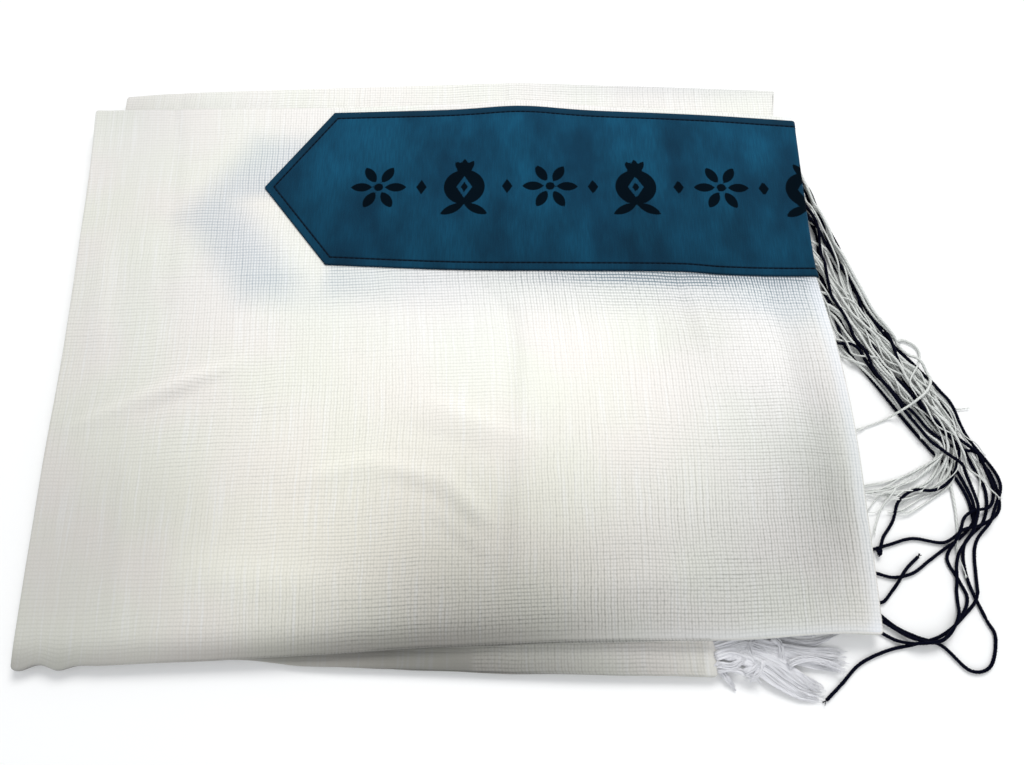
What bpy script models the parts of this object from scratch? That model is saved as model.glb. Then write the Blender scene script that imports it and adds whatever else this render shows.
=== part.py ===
"""A tallit (prayer shawl) folded flat and laid down, its corner tassels trailing out from one side.

The origin is at the middle of the box round the object, on the surface it lies on. X is the
object's length, Y its depth (front is -Y) and Z is up. Sizes in the tables are millimetres.
"""

import math

import bmesh
import bpy
import numpy as np
from mathutils import Vector

MM = 0.001
GAP = 0.3  # between pieces that lie on each other

# ---------------------------------------------------------------- folded cloth
CLOTH_COLUMNS = 36  # cells of the top surface along X
CLOTH_ROWS = 26  # and along Y
EDGE_CROWDING = 0.55  # 0 spaces the cells evenly, 1 gathers them at the edges
CORNER_RADIUS = 6.0
GROOVE_DEPTH = 4.5  # how far the gap between two folded layers reaches in
TOP_LEAF = 2.0  # thickness of the topmost folded layer at its nose
NOSE_INSET = 1.1  # where the top surface turns over into the nose
SLOT_HEIGHT = 2.3  # gap under the top leaf where the atarah passes round it
SLOT_DEPTH = 10.0
SLOT_FRONT = 26.0  # it opens behind this line
SLOT_LEFT = 138.0  # and to the right of this one
UPPER_LEAVES = 3  # folded layers that show at the edge of the upper packet
LOWER_LEAVES = 2

# The upper packet's four sides, at the nose of its top fold.
UPPER_FRONT = (
    {"x": -233, "y": -161.5},
    {"x": -182, "y": -162.0},
    {"x": -127, "y": -159.5},
    {"x": -86, "y": -156.6},
    {"x": -44, "y": -153.5},
    {"x": 40, "y": -150.3},
    {"x": 104, "y": -150.1},
    {"x": 152, "y": -147.2},
    {"x": 173, "y": -147.5},
)
UPPER_BACK = (
    {"x": -247, "y": 151.5},
    {"x": -106, "y": 150.5},
    {"x": 0, "y": 152.5},
    {"x": 80, "y": 149.5},
    {"x": 164, "y": 144.5},
)
UPPER_LEFT = (
    {"y": -162, "x": -233.0},
    {"y": -73, "x": -233.8},
    {"y": -31, "x": -235.3},
    {"y": 76, "x": -242.0},
    {"y": 152, "x": -246.6},
)
UPPER_RIGHT = (
    {"y": -148, "x": 172.5},
    {"y": -94, "x": 172.8},
    {"y": -48, "x": 174.5},
    {"y": -4, "x": 170.3},
    {"y": 32, "x": 165.6},
    {"y": 88, "x": 162.8},
    {"y": 144, "x": 163.2},
)

# The lower packet's sides. It shows as a strip behind and in front of the upper one.
LOWER_FRONT = (
    {"x": -227, "y": -158.5},
    {"x": -128, "y": -158.5},
    {"x": -100, "y": -161.0},
    {"x": -44, "y": -162.5},
    {"x": 40, "y": -165.1},
    {"x": 94, "y": -165.9},
)
LOWER_BACK = (
    {"x": -235, "y": 168.0},
    {"x": -204, "y": 170.4},
    {"x": -112, "y": 173.4},
    {"x": -9, "y": 175.6},
    {"x": 77, "y": 174.2},
    {"x": 159, "y": 170.4},
)
LOWER_LEFT = (
    {"y": -158, "x": -226.0},
    {"y": 0, "x": -229.0},
    {"y": 168, "x": -235.5},
)
LOWER_RIGHT = (
    {"y": -166, "x": 94.0},
    {"y": -90, "x": 108.0},
    {"y": 40, "x": 134.0},
    {"y": 171, "x": 158.5},
)

# Height of the upper packet's top: a row for each distance back, a column for each distance across.
TOP_ACROSS = (-240, -165, -20, 110, 172)
TOP_HEIGHT = (
    {"y": -155, "heights": (7.0, 9.5, 12.5, 12.5, 9.5)},
    {"y": -110, "heights": (8.5, 14.5, 17.2, 17.0, 12.5)},
    {"y": -40, "heights": (11.0, 17.0, 18.8, 18.4, 14.0)},
    {"y": 60, "heights": (13.0, 17.6, 19.2, 18.8, 15.5)},
    {"y": 150, "heights": (13.5, 16.2, 18.0, 17.2, 15.5)},
)
# Height where the upper packet rests on the lower one, and of the lower packet's strips.
REST_ACROSS = (-240, -120, 0, 95, 172)
REST_HEIGHT = (
    {"y": -165, "heights": (2.4, 3.6, 5.2, 5.2, 4.6)},
    {"y": 0, "heights": (4.6, 7.0, 8.0, 8.0, 8.0)},
    {"y": 175, "heights": (5.6, 7.0, 8.2, 8.0, 8.3)},
)

# Soft ridges (height above 0) and troughs (below 0) that the folding left in the top.
CREASES = (
    {"name": "rise at the back", "start": (0, 182), "end": (8, 100), "half_width": 27, "height": 3.4},
    {"name": "left diagonal", "start": (-222, -42), "end": (-146, -18), "half_width": 11, "height": 1.3},
    {"name": "left of the middle", "start": (-118, -68), "end": (-44, -69), "half_width": 11, "height": 1.2},
    {"name": "middle fold, back", "start": (-4, 30), "end": (3, -52), "half_width": 9, "height": -1.0},
    {"name": "middle fold, front", "start": (3, -52), "end": (-10, -136), "half_width": 9, "height": -1.2},
)

# ---------------------------------------------------------------- materials
FINISHES = {
    "gauze": {"color": (0.86, 0.86, 0.84), "roughness": 0.9},
    "band": {"color": (0.02, 0.09, 0.17), "roughness": 0.85},
    "fringe": {"color": (0.85, 0.85, 0.87), "roughness": 0.8},
    "white string": {"color": (0.72, 0.73, 0.72), "roughness": 0.7},
    "black string": {"color": (0.008, 0.01, 0.02), "roughness": 0.65},
}

# ---------------------------------------------------------------- atarah (collar band)
BAND_TIP = (-140.5, 93.3)
BAND_THICKNESS = 1.2
BAND_ALONG = 20  # cells from the tip to the fold
BAND_ACROSS = 6
BAND_TUCK = 7.0  # how far the band runs back under the fold
BAND_TOP = (
    {"x": -140.5, "y": 93.3},
    {"x": -105, "y": 145.6},
    {"x": 0, "y": 147.4},
    {"x": 80, "y": 145.4},
    {"x": 164, "y": 141.0},
)
BAND_BOTTOM = (
    {"x": -140.5, "y": 93.3},
    {"x": -102, "y": 43.0},
    {"x": -2, "y": 38.7},
    {"x": 75, "y": 39.2},
    {"x": 164, "y": 40.2},
)

# ---------------------------------------------------------------- strings and fringe
STRING = 1.5  # thickness of a tassel's string
CLEARANCE = 0.35  # left between strings that cross, beyond their thickness
BUNDLE_STEP = 11.0  # length of a string's sections in the bundle
TAIL_STEP = 6.0  # and in its loose end
FLOOR_GAP = 0.35  # strings end and lie just above the surface
SAMPLE_STEP = 1.0  # along a string, when it is laid over the ones before it

# The banks between which the strings run out from under the cloth, from the tassels' heads forward.
BUNDLE = (
    {"right_x": 155.2, "right_y": 124.0, "left_x": 137.6, "left_y": 31.0},
    {"right_x": 161.0, "right_y": 118.0, "left_x": 147.0, "left_y": 22.0},
    {"right_x": 168.5, "right_y": 104.0, "left_x": 159.0, "left_y": 13.0},
    {"right_x": 180.4, "right_y": 68.8, "left_x": 170.3, "left_y": 5.0},
    {"right_x": 190.5, "right_y": 34.0, "left_x": 180.0, "left_y": -5.5},
    {"right_x": 202.5, "right_y": 5.0, "left_x": 190.5, "left_y": -16.0},
    {"right_x": 215.1, "right_y": -10.5, "left_x": 200.5, "left_y": -31.5},
    {"right_x": 228.2, "right_y": -33.3, "left_x": 208.7, "left_y": -45.6},
    {"right_x": 231.5, "right_y": -47.0, "left_x": 216.5, "left_y": -58.0},
)

# Each string: where it lies across the bundle (-1 left bank, 1 right bank), how far along it it
# runs, and the way its loose end takes from there.
WHITE_STRINGS = (
    {
        "name": "sweep 1", "lane": -1.00, "rows": 8,
        "tail": ((207, -65), (193, -71), (177, -74), (170, -75)),
    },
    {
        "name": "sweep 2", "lane": -0.90, "rows": 8,
        "tail": ((209, -68), (195, -73.5), (184, -76), (176, -77)),
    },
    {
        "name": "sweep 3", "lane": -0.76, "rows": 8,
        "tail": ((211, -71), (197, -77), (185, -79), (176, -88)),
    },
    {
        "name": "down 1", "lane": -0.66, "rows": 8,
        "tail": ((205, -70), (192, -76), (184, -86), (179, -97)),
    },
    {
        "name": "long 1", "lane": -0.52, "rows": 8,
        "tail": ((221, -72), (221, -84), (220, -94), (218, -104)),
    },
    {
        "name": "short 1", "lane": -0.40, "rows": 6,
        "tail": ((207, -40), (209, -48)),
    },
    {
        "name": "sweep 4", "lane": -0.30, "rows": 8,
        "tail": ((213, -71), (201, -77), (192, -79), (181, -78)),
    },
    {
        "name": "down 2", "lane": -0.18, "rows": 8,
        "tail": ((214, -75), (204, -81), (194, -87), (189, -88)),
    },
    {
        "name": "short 2", "lane": -0.06, "rows": 5,
        "tail": ((203, -24), (208, -36)),
    },
    {
        "name": "hook", "lane": 0.06, "rows": 8,
        "tail": ((222, -71), (210, -81), (197, -88), (191, -86), (199, -81)),
    },
    {
        "name": "right 1", "lane": 0.20, "rows": 8,
        "tail": ((230, -62), (236, -70), (241, -79)),
    },
    {
        "name": "sweep 5", "lane": 0.32, "rows": 8,
        "tail": ((220, -68), (208, -77), (198, -80), (187, -79)),
    },
    {
        "name": "short 3", "lane": 0.44, "rows": 6,
        "tail": ((221, -33), (222, -44)),
    },
    {
        "name": "long 2", "lane": 0.56, "rows": 8,
        "tail": ((226, -62), (228, -76), (232, -92), (231, -104)),
    },
    {
        "name": "right 2", "lane": 0.68, "rows": 7,
        "tail": ((228, -46), (234, -58), (239, -68)),
    },
    {
        "name": "side end", "lane": 0.80, "rows": 6,
        "tail": ((225, -22), (231, -33), (239, -34)),
    },
    {
        "name": "loop", "lane": 0.90, "rows": 4,
        "tail": ((204, 8), (211, 7), (217, 3), (218, -3), (213, -11), (207, -20), (209, -28)),
    },
    {
        "name": "swoop", "lane": 1.00, "rows": 4,
        "tail": ((206, 4), (215, -5), (220, -15), (217, -23), (209, -30), (201, -35), (190, -40),
            (178, -44), (171, -45)),
    },
)
BLACK_STRINGS = (
    {
        "name": "left bank", "lane": -1.00, "rows": 8,
        "tail": ((222, -66), (228, -80), (229, -92)),
    },
    {
        "name": "knotted", "lane": 0.10, "rows": 8,
        "tail": ((226, -54), (225, -62), (220, -72), (211, -77), (201, -77), (192, -83),
            (188, -93), (182, -101), (179, -108)),
    },
    {
        "name": "crossing", "lane": -0.45, "rows": 8,
        "tail": ((227, -70), (230, -82), (228, -93), (220, -101), (212, -106), (203, -112),
            (194, -118), (184, -120), (174, -118), (170, -125), (176, -132), (183, -126),
            (190, -117), (198, -110)),
    },
    {
        "name": "inner run", "lane": -0.15, "rows": 8,
        "tail": ((229, -68), (231, -84), (226, -98), (217, -110), (214, -124), (212, -137),
            (204, -148), (193, -151), (182, -150), (171, -144)),
    },
    {
        "name": "under and out", "lane": 0.35, "rows": 8,
        "tail": ((236, -58), (243, -70), (243, -86), (233, -94), (222, -97), (212, -103),
            (197, -101), (185, -104), (171, -108)),
    },
    {
        "name": "outer run", "lane": 0.60, "rows": 8,
        "tail": ((237, -56), (245, -72), (239, -84), (226, -89), (217, -102), (212, -111),
            (216, -122), (218, -131), (210, -142), (201, -150), (189, -149), (171, -138)),
    },
    {
        "name": "wide loop", "lane": 0.80, "rows": 8,
        "tail": ((237, -60), (240, -75), (234, -92), (222, -104), (220, -120), (225, -139),
            (228, -148), (223, -161), (213, -163), (202, -152), (191, -148), (181, -143),
            (170, -133)),
    },
    {
        "name": "front run", "lane": 1.00, "rows": 8,
        "tail": ((239, -57), (246, -72), (238, -90), (227, -105), (223, -128), (214, -139),
            (203, -147), (190, -151), (176, -154), (162, -160), (152, -169), (144, -176)),
    },
)
WHITE_HEAD = {"bottom": 0.4, "top": 4.0, "rows": 2}
BLACK_HEAD = {"bottom": 4.4, "top": 7.4, "rows": 1}
HEAD_DEPTH = 3.0
ROOT_LENGTH = 0.8  # from a backing's face to the first section of a strand
HEAD_CLEARANCE = 1.0  # from the lower packet's side

# The fringe's strip lies beside the end of the lower packet. Each lock: where it leaves the strip, its
# way out, and its width and thickness.
STRIP_CLEARANCE = 0.5
LOCK_STEP = 9.0
FRINGE_STRIP = {"front": -165.5, "back": -118.0, "depth": 2.6, "bottom": 0.4, "top": 3.4}
FRINGE_LOCKS = (
    {"root": -163.5, "width": 4.0, "thick": 1.6, "way": ((99.5, -165.5), (101.0, -168.5), (102.5, -171.5))},
    {"root": -158.0, "width": 4.0, "thick": 1.8, "way": ((103.0, -158.0), (108.0, -160.0), (113.0, -166.0))},
    {"root": -153.5, "width": 4.5, "thick": 2.0, "way": ((108.0, -155.5), (122.0, -163.5), (141.0, -174.0))},
    {"root": -148.5, "width": 4.5, "thick": 2.0, "way": ((110.0, -150.5), (126.0, -158.0), (144.5, -169.5))},
    {"root": -143.5, "width": 4.0, "thick": 2.0, "way": ((112.0, -146.0), (128.0, -152.5), (156.0, -162.0))},
    {"root": -138.5, "width": 4.0, "thick": 2.0, "way": ((114.0, -141.0), (132.0, -148.5), (157.0, -156.0))},
    {"root": -133.5, "width": 3.5, "thick": 2.0, "way": ((115.0, -136.0), (132.0, -142.5), (153.0, -147.5))},
    {"root": -128.5, "width": 3.5, "thick": 2.0, "way": ((116.0, -131.0), (130.0, -137.0), (146.0, -141.0))},
)


def lerp(a, b, part):
    return a + (b - a) * part


def table_value(rows, at, along, value):
    """The table's smooth curve through its rows: a cubic in each span, level with its neighbours' slope."""
    last = len(rows) - 1
    span = 0
    while span < last - 1 and at > rows[span + 1][along]:
        span += 1
    slopes = []
    for here in (span, span + 1):
        before = rows[max(here - 1, 0)]
        after = rows[min(here + 1, last)]
        slopes.append((after[value] - before[value]) / (after[along] - before[along]))
    start = rows[span]
    end = rows[span + 1]
    width = end[along] - start[along]
    part = min(max((at - start[along]) / width, 0.0), 1.0)
    rise = (
        start[value] * (2 * part**3 - 3 * part**2 + 1)
        + end[value] * (3 * part**2 - 2 * part**3)
        + slopes[0] * width * (part**3 - 2 * part**2 + part)
        + slopes[1] * width * (part**3 - part**2)
    )
    return rise


def table_height(rows, across, x, y):
    """A height read from a table with one row for each y and one column for each x."""
    lines = []
    for row in rows:
        line = [{"x": place, "z": height} for place, height in zip(across, row["heights"])]
        lines.append({"y": row["y"], "z": table_value(line, x, "x", "z")})
    return table_value(lines, y, "y", "z")


def distance_to_span(x, y, start, end):
    """Distance from a point to a straight span, and how far along the span it lies, from 0 to 1."""
    dx = end[0] - start[0]
    dy = end[1] - start[1]
    along = ((x - start[0]) * dx + (y - start[1]) * dy) / (dx * dx + dy * dy)
    held = min(max(along, 0.0), 1.0)
    return math.hypot(x - start[0] - held * dx, y - start[1] - held * dy), held


def top_height(x, y):
    """Height of the upper packet's top surface."""
    height = table_height(TOP_HEIGHT, TOP_ACROSS, x, y)
    for crease in CREASES:
        away, along = distance_to_span(x, y, crease["start"], crease["end"])
        fade = 0.35 + 0.65 * math.sin(math.pi * along)
        height += crease["height"] * fade * math.exp(-((away / crease["half_width"]) ** 2))
    return height


def rest_height(x, y):
    return table_height(REST_HEIGHT, REST_ACROSS, x, y)


UPPER = {"front": UPPER_FRONT, "back": UPPER_BACK, "left": UPPER_LEFT, "right": UPPER_RIGHT}
LOWER = {"front": LOWER_FRONT, "back": LOWER_BACK, "left": LOWER_LEFT, "right": LOWER_RIGHT}


def round_corner(x, y, left, right, front, back):
    """Moves a point near a corner so that the square corner becomes a quarter circle."""
    side_x = 1 if right - x < x - left else -1
    side_y = 1 if back - y < y - front else -1
    from_x = min(right - x, x - left)
    from_y = min(back - y, y - front)
    if from_x >= CORNER_RADIUS or from_y >= CORNER_RADIUS:
        return x, y
    a = 1 - from_x / CORNER_RADIUS
    b = 1 - from_y / CORNER_RADIUS
    x += side_x * CORNER_RADIUS * a * (math.sqrt(1 - b * b / 2) - 1)
    y += side_y * CORNER_RADIUS * b * (math.sqrt(1 - a * a / 2) - 1)
    return x, y


def packet_point(packet, s, t, inset):
    """Plan position of a point of a packet: s runs from its left side to its right, t from front to back."""
    x = 0.0
    y = 0.0
    for _ in range(6):
        left = table_value(packet["left"], y, "y", "x") + inset
        right = table_value(packet["right"], y, "y", "x") - inset
        x = lerp(left, right, s)
        front = table_value(packet["front"], x, "x", "y") + inset
        back = table_value(packet["back"], x, "x", "y") - inset
        y = lerp(front, back, t)
    return round_corner(x, y, left, right, front, back)


def crowded(count):
    """Fractions from 0 to 1, closer together towards both ends."""
    parts = []
    for index in range(count + 1):
        even = index / count
        eased = 0.5 - 0.5 * math.cos(math.pi * even)
        parts.append(lerp(even, eased, EDGE_CROWDING))
    return parts


def rim_stations(columns, rows):
    """The (s, t) of each point round the rim, anticlockwise from the front left corner."""
    stations = [(s, 0.0) for s in columns[:-1]]
    stations += [(1.0, t) for t in rows[:-1]]
    stations += [(s, 1.0) for s in columns[:0:-1]]
    stations += [(0.0, t) for t in rows[:0:-1]]
    return stations


def leaf_wander(leaf, s, t):
    """How far a leaf's nose lies in from the packet's side: the layers never line up."""
    turn = math.atan2(t - 0.5, s - 0.5)
    return 0.7 * leaf + 0.9 * math.sin(3 * turn + 2.1 * leaf) + 0.5 * math.sin(7 * turn + 1.3 * leaf)


def between_point(s, t, inset):
    """The groove between the packets lies inside both of them."""
    x, y = packet_point(LOWER, s, t, inset)
    left = table_value(UPPER_LEFT, y, "y", "x") + inset
    right = table_value(UPPER_RIGHT, y, "y", "x") - inset
    x = min(max(x, left), right)
    front = table_value(UPPER_FRONT, x, "x", "y") + inset
    back = table_value(UPPER_BACK, x, "x", "y") - inset
    return x, min(max(y, front), back)


def slot_share(s, t):
    """1 on the rim where the atarah goes round the top leaf, 0 on the rest of it."""
    x, y = packet_point(UPPER, s, t, 0.0)
    inside = min((y - SLOT_FRONT) / 6, (x - SLOT_LEFT) / 10)
    return min(max(inside, 0.0), 1.0)


def ring_at(packet, stations, inset_of, height_of):
    """A closed ring of points, each set in from the packet's side and at its own height."""
    ring = []
    for s, t in stations:
        x, y = packet_point(packet, s, t, inset_of(s, t))
        ring.append(Vector((x, y, height_of(s, t))))
    return ring


def packet_rings(packet, leaves, first, stations, top_of, foot_of):
    """Rings down a packet's layered side: two for the nose of each leaf, and a groove between leaves."""
    rings = []
    for leaf in range(leaves):

        def inset_of(s, t, leaf=leaf):
            return leaf_wander(leaf + first, s, t)

        def groove_of(s, t, leaf=leaf):
            return leaf_wander(leaf + first, s, t) + GROOVE_DEPTH

        for share in (0.3, 0.72):

            def nose_height(s, t, depth=(leaf + share) / leaves):
                return lerp(top_of(s, t), foot_of(s, t), depth)

            rings.append(ring_at(packet, stations, inset_of, nose_height))
        if leaf < leaves - 1:

            def groove_height(s, t, depth=(leaf + 1) / leaves):
                return lerp(top_of(s, t), foot_of(s, t), depth)

            rings.append(ring_at(packet, stations, groove_of, groove_height))
    return rings


def top_leaf_rings(stations):
    """Nose of the topmost leaf, and the slot under it: closed to a crease but for the atarah's place."""

    def no_inset(_s, _t):
        return 0.0

    def slot_inset(s, t):
        return lerp(GROOVE_DEPTH, SLOT_DEPTH, slot_share(s, t))

    rings = []
    for drop in (0.3 * TOP_LEAF, 0.72 * TOP_LEAF):
        rings.append(ring_at(UPPER, stations, no_inset, lambda s, t, d=drop: upper_edge_height(s, t) - d))
    rings.append(ring_at(UPPER, stations, slot_inset, lambda s, t: upper_edge_height(s, t) - TOP_LEAF))
    rings.append(ring_at(UPPER, stations, slot_inset, second_leaf_height))
    return rings


def upper_edge_height(s, t):
    x, y = packet_point(UPPER, s, t, 0.0)
    return top_height(x, y)


def second_leaf_height(s, t):
    return upper_edge_height(s, t) - TOP_LEAF - 0.2 - SLOT_HEIGHT * slot_share(s, t)


def upper_foot_height(s, t):
    x, y = packet_point(UPPER, s, t, 0.0)
    return rest_height(x, y) + 0.2


def lower_edge_height(s, t):
    x, y = packet_point(LOWER, s, t, 0.0)
    return rest_height(x, y)


def floor_height(_s, _t):
    return 0.0


def finish_material(finish):
    material = bpy.data.materials.new(finish)
    material.use_nodes = True
    shader = material.node_tree.nodes["Principled BSDF"]
    shader.inputs["Base Color"].default_value = (*FINISHES[finish]["color"], 1)
    shader.inputs["Roughness"].default_value = FINISHES[finish]["roughness"]
    shader.inputs["Metallic"].default_value = 0.0
    material.diffuse_color = (*FINISHES[finish]["color"], 1)
    return material


def new_object(name, mesh_data, collection, finish):
    """Turns a bmesh, in millimetres, into an object in metres with smooth faces and its material."""
    bmesh.ops.scale(mesh_data, vec=(MM, MM, MM), verts=mesh_data.verts)
    bmesh.ops.recalc_face_normals(mesh_data, faces=mesh_data.faces)
    mesh = bpy.data.meshes.new(name)
    mesh_data.to_mesh(mesh)
    mesh_data.free()
    mesh.shade_smooth()
    mesh.set_sharp_from_angle(angle=math.radians(50))
    mesh.materials.append(finish_material(finish))
    result = bpy.data.objects.new(name, mesh)
    collection.objects.link(result)
    return result


def bridge(mesh_data, ring, following):
    """Quads between two closed rings of the same number of vertices."""
    count = len(ring)
    for index in range(count):
        after = (index + 1) % count
        mesh_data.faces.new((ring[index], ring[after], following[after], following[index]))


def make_cloth(collection):
    """The folded cloth: its top surface, the layered side of both packets and the flat underside."""
    columns = crowded(CLOTH_COLUMNS)
    rows = crowded(CLOTH_ROWS)
    stations = rim_stations(columns, rows)
    mesh_data = bmesh.new()

    top = {}
    for t in rows:
        for s in columns:
            x, y = packet_point(UPPER, s, t, NOSE_INSET)
            top[s, t] = mesh_data.verts.new((x, y, top_height(x, y)))
    for t, next_t in zip(rows, rows[1:]):
        for s, next_s in zip(columns, columns[1:]):
            mesh_data.faces.new((top[s, t], top[next_s, t], top[next_s, next_t], top[s, next_t]))

    rings = top_leaf_rings(stations)
    rings += packet_rings(UPPER, UPPER_LEAVES - 1, 1, stations, second_leaf_height, upper_foot_height)
    between = []
    for s, t in stations:
        x, y = between_point(s, t, GROOVE_DEPTH)
        between.append(Vector((x, y, rest_height(x, y) + 0.1)))
    rings.append(between)
    rings += packet_rings(LOWER, LOWER_LEAVES, 0, stations, lower_edge_height, floor_height)
    underside = []
    for s, t in stations:
        x, y = packet_point(LOWER, s, t, 2.2)
        underside.append(Vector((x, y, 0.0)))
    rings.append(underside)

    above = [top[station] for station in stations]
    for ring in rings:
        below = [mesh_data.verts.new(point) for point in ring]
        bridge(mesh_data, above, below)
        above = below
    mesh_data.faces.new(above)
    return new_object("shawl_cloth", mesh_data, collection, "gauze")


def straight_value(rows, at):
    """The y of an outline made of straight lines, at an x."""
    for start, end in zip(rows, rows[1:]):
        if at <= end["x"]:
            return lerp(start["y"], end["y"], (at - start["x"]) / (end["x"] - start["x"]))
    return rows[-1]["y"]


def band_sections():
    """Stations along the band: on the top as (x, None), then round the fold as (None, turn) in degrees."""
    tip = BAND_TOP[0]["x"]
    shoulders = sorted((BAND_TOP[1]["x"], BAND_BOTTOM[1]["x"]))
    flat_end = 158.0
    places = [lerp(tip, shoulders[0], part / 3) for part in (1, 2)] + shoulders
    places += [lerp(shoulders[1], flat_end, part / BAND_ALONG) for part in range(1, BAND_ALONG + 1)]
    return [(x, None) for x in places] + [(None, turn) for turn in (90, 60, 30, 0, -30, -60, -90)]


def band_point(x, turn, part):
    """A point of the band's inner face; part runs from its bottom edge, 0, to its top edge, 1."""
    if turn is None:
        y = lerp(straight_value(BAND_BOTTOM, x), straight_value(BAND_TOP, x), part)
        return Vector((x, y, top_height(x, y) + GAP))
    y = lerp(BAND_BOTTOM[-1]["y"], BAND_TOP[-1]["y"], part)
    side = table_value(UPPER_RIGHT, y, "y", "x")
    radius = TOP_LEAF / 2 + GAP + 0.1
    angle = math.radians(turn)
    middle = top_height(side - NOSE_INSET, y) - TOP_LEAF / 2
    return Vector((side - TOP_LEAF / 2 + radius * math.cos(angle), y, middle + radius * math.sin(angle)))


def make_atarah(collection):
    """The band: a panel on the cloth's top, its right-hand end folded round the top leaf and tucked in."""
    mesh_data = bmesh.new()
    tip_x, tip_y = BAND_TIP
    tip = mesh_data.verts.new((tip_x, tip_y, top_height(tip_x, tip_y) + GAP))
    parts = [index / BAND_ACROSS for index in range(BAND_ACROSS + 1)]
    lines = []
    for x, turn in band_sections():
        lines.append([mesh_data.verts.new(band_point(x, turn, part)) for part in parts])
    tucked = []
    for vert in lines[-1]:
        tucked.append(mesh_data.verts.new(vert.co - Vector((BAND_TUCK, 0, 0.15))))
    lines.append(tucked)
    for low, high in zip(lines[0], lines[0][1:]):
        mesh_data.faces.new((tip, low, high))
    for line, following in zip(lines, lines[1:]):
        for index in range(BAND_ACROSS):
            corners = (line[index], following[index], following[index + 1], line[index + 1])
            mesh_data.faces.new(corners)
    band = new_object("atarah", mesh_data, collection, "band")
    wall = band.modifiers.new("Wall", "SOLIDIFY")
    wall.thickness = BAND_THICKNESS * MM
    wall.offset = 1.0
    return band


def smooth_way(points, steps):
    """Points along a smooth curve through the given ones (Catmull-Rom), each span cut into its steps."""
    padded = [2 * points[0] - points[1], *points, 2 * points[-1] - points[-2]]
    way = []
    for before, start, end, after, step in zip(padded, padded[1:], padded[2:], padded[3:], steps):
        count = max(1, round((end - start).length / step))
        for index in range(count):
            u = index / count
            way.append(
                0.5
                * (
                    2 * start
                    + (end - before) * u
                    + (2 * before - 5 * start + 4 * end - after) * u * u
                    + (3 * start - before - 3 * end + after) * u**3
                )
            )
    way.append(points[-1].copy())
    return way


def string_way(string, root):
    """A string's way in plan: from its root down the bundle in its lane, then along its loose end."""
    points = [root]
    part = (string["lane"] + 1) / 2
    for station in BUNDLE[1 : string["rows"] + 1]:
        x = lerp(station["left_x"], station["right_x"], part)
        y = lerp(station["left_y"], station["right_y"], part)
        points.append(Vector((x, y)))
    steps = [BUNDLE_STEP] * (len(points) - 1)
    points += [Vector(point) for point in string["tail"]]
    steps += [TAIL_STEP] * len(string["tail"])
    return smooth_way(points, steps)


def sampled(way):
    """The way as a broken line with points about a sample step apart, each with the spans' places."""
    places = []
    for index, (start, end) in enumerate(zip(way, way[1:])):
        count = max(1, math.ceil((end - start).length / SAMPLE_STEP))
        for step in range(count):
            places.append((index, step / count))
    places.append((len(way) - 2, 1.0))
    plan = [way[index].lerp(way[index + 1], share) for index, share in places]
    return places, np.array([(point.x, point.y) for point in plan])


def needed_height(plan, obstacles, lowest):
    """Lowest height of each sample over the obstacles: rows of x, y, height, reach and rise."""
    needed = np.full(len(plan), lowest)
    if len(obstacles):
        away = np.hypot(plan[:, None, 0] - obstacles[:, 0], plan[:, None, 1] - obstacles[:, 1])
        share = np.clip(1 - (away / obstacles[:, 3]) ** 2, 0, None)
        over = np.where(away < obstacles[:, 3], obstacles[:, 2] + obstacles[:, 4] * np.sqrt(share), lowest)
        needed = np.maximum(needed, over.max(axis=1))
    return needed


def lay_string(way, obstacles, root_height):
    """Heights of the way's points, so that the string lies over the obstacles and over itself."""
    places, plan = sampled(way)
    lowest = FLOOR_GAP + STRING / 2
    reach = STRING + CLEARANCE
    needed = needed_height(plan, obstacles, lowest)
    heights = np.zeros(len(way))
    skip = int(10 / SAMPLE_STEP)
    for _ in range(2):
        heights[:] = lowest
        for (index, share), height in zip(places, needed):
            heights[index] = max(heights[index], height)
            heights[index + 1] = max(heights[index + 1], height)
        heights[0] = root_height
        laid = np.array([lerp(heights[index], heights[index + 1], share) for index, share in places])
        own = np.column_stack((plan, laid, np.full(len(plan), reach), np.full(len(plan), reach)))
        for index in range(skip, len(plan)):
            over = needed_height(plan[index : index + 1], own[: index - skip], lowest)
            needed[index] = max(needed[index], over[0])
    return heights, own


def rim_frame(direction):
    """Sideways and upward unit vectors of a string's section."""
    side = direction.cross(Vector((0, 0, 1))).normalized()
    return side, side.cross(direction).normalized()


def grow_strand(mesh_data, face, points, half_width, half_height, tip_share):
    """Draws a strand of four sides out of a face of its backing, along the points."""
    side, up = rim_frame(face.normal)
    middle = face.calc_center_median()
    signs = []
    ends = []
    for vert in face.verts:
        out = vert.co - middle
        signs.append((math.copysign(1, out.dot(side)), math.copysign(1, out.dot(up))))
        ends.append(vert.co.copy())
    for index, point in enumerate(points):
        before = points[index - 1] if index else middle
        after = points[min(index + 1, len(points) - 1)]
        side, up = rim_frame((after - before).normalized())
        taper = lerp(1.0, tip_share, max(0.0, 2 * index / (len(points) - 1) - 1))
        face = bmesh.ops.extrude_discrete_faces(mesh_data, faces=[face])["faces"][0]
        for vert in face.verts:
            corner = min(range(len(ends)), key=lambda k, at=vert.co: (ends[k] - at).length)
            across, height = signs[corner]
            sideways = side * across * half_width * taper
            vert.co = point + sideways + up * height * half_height * taper
            ends[corner] = vert.co.copy()


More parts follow.
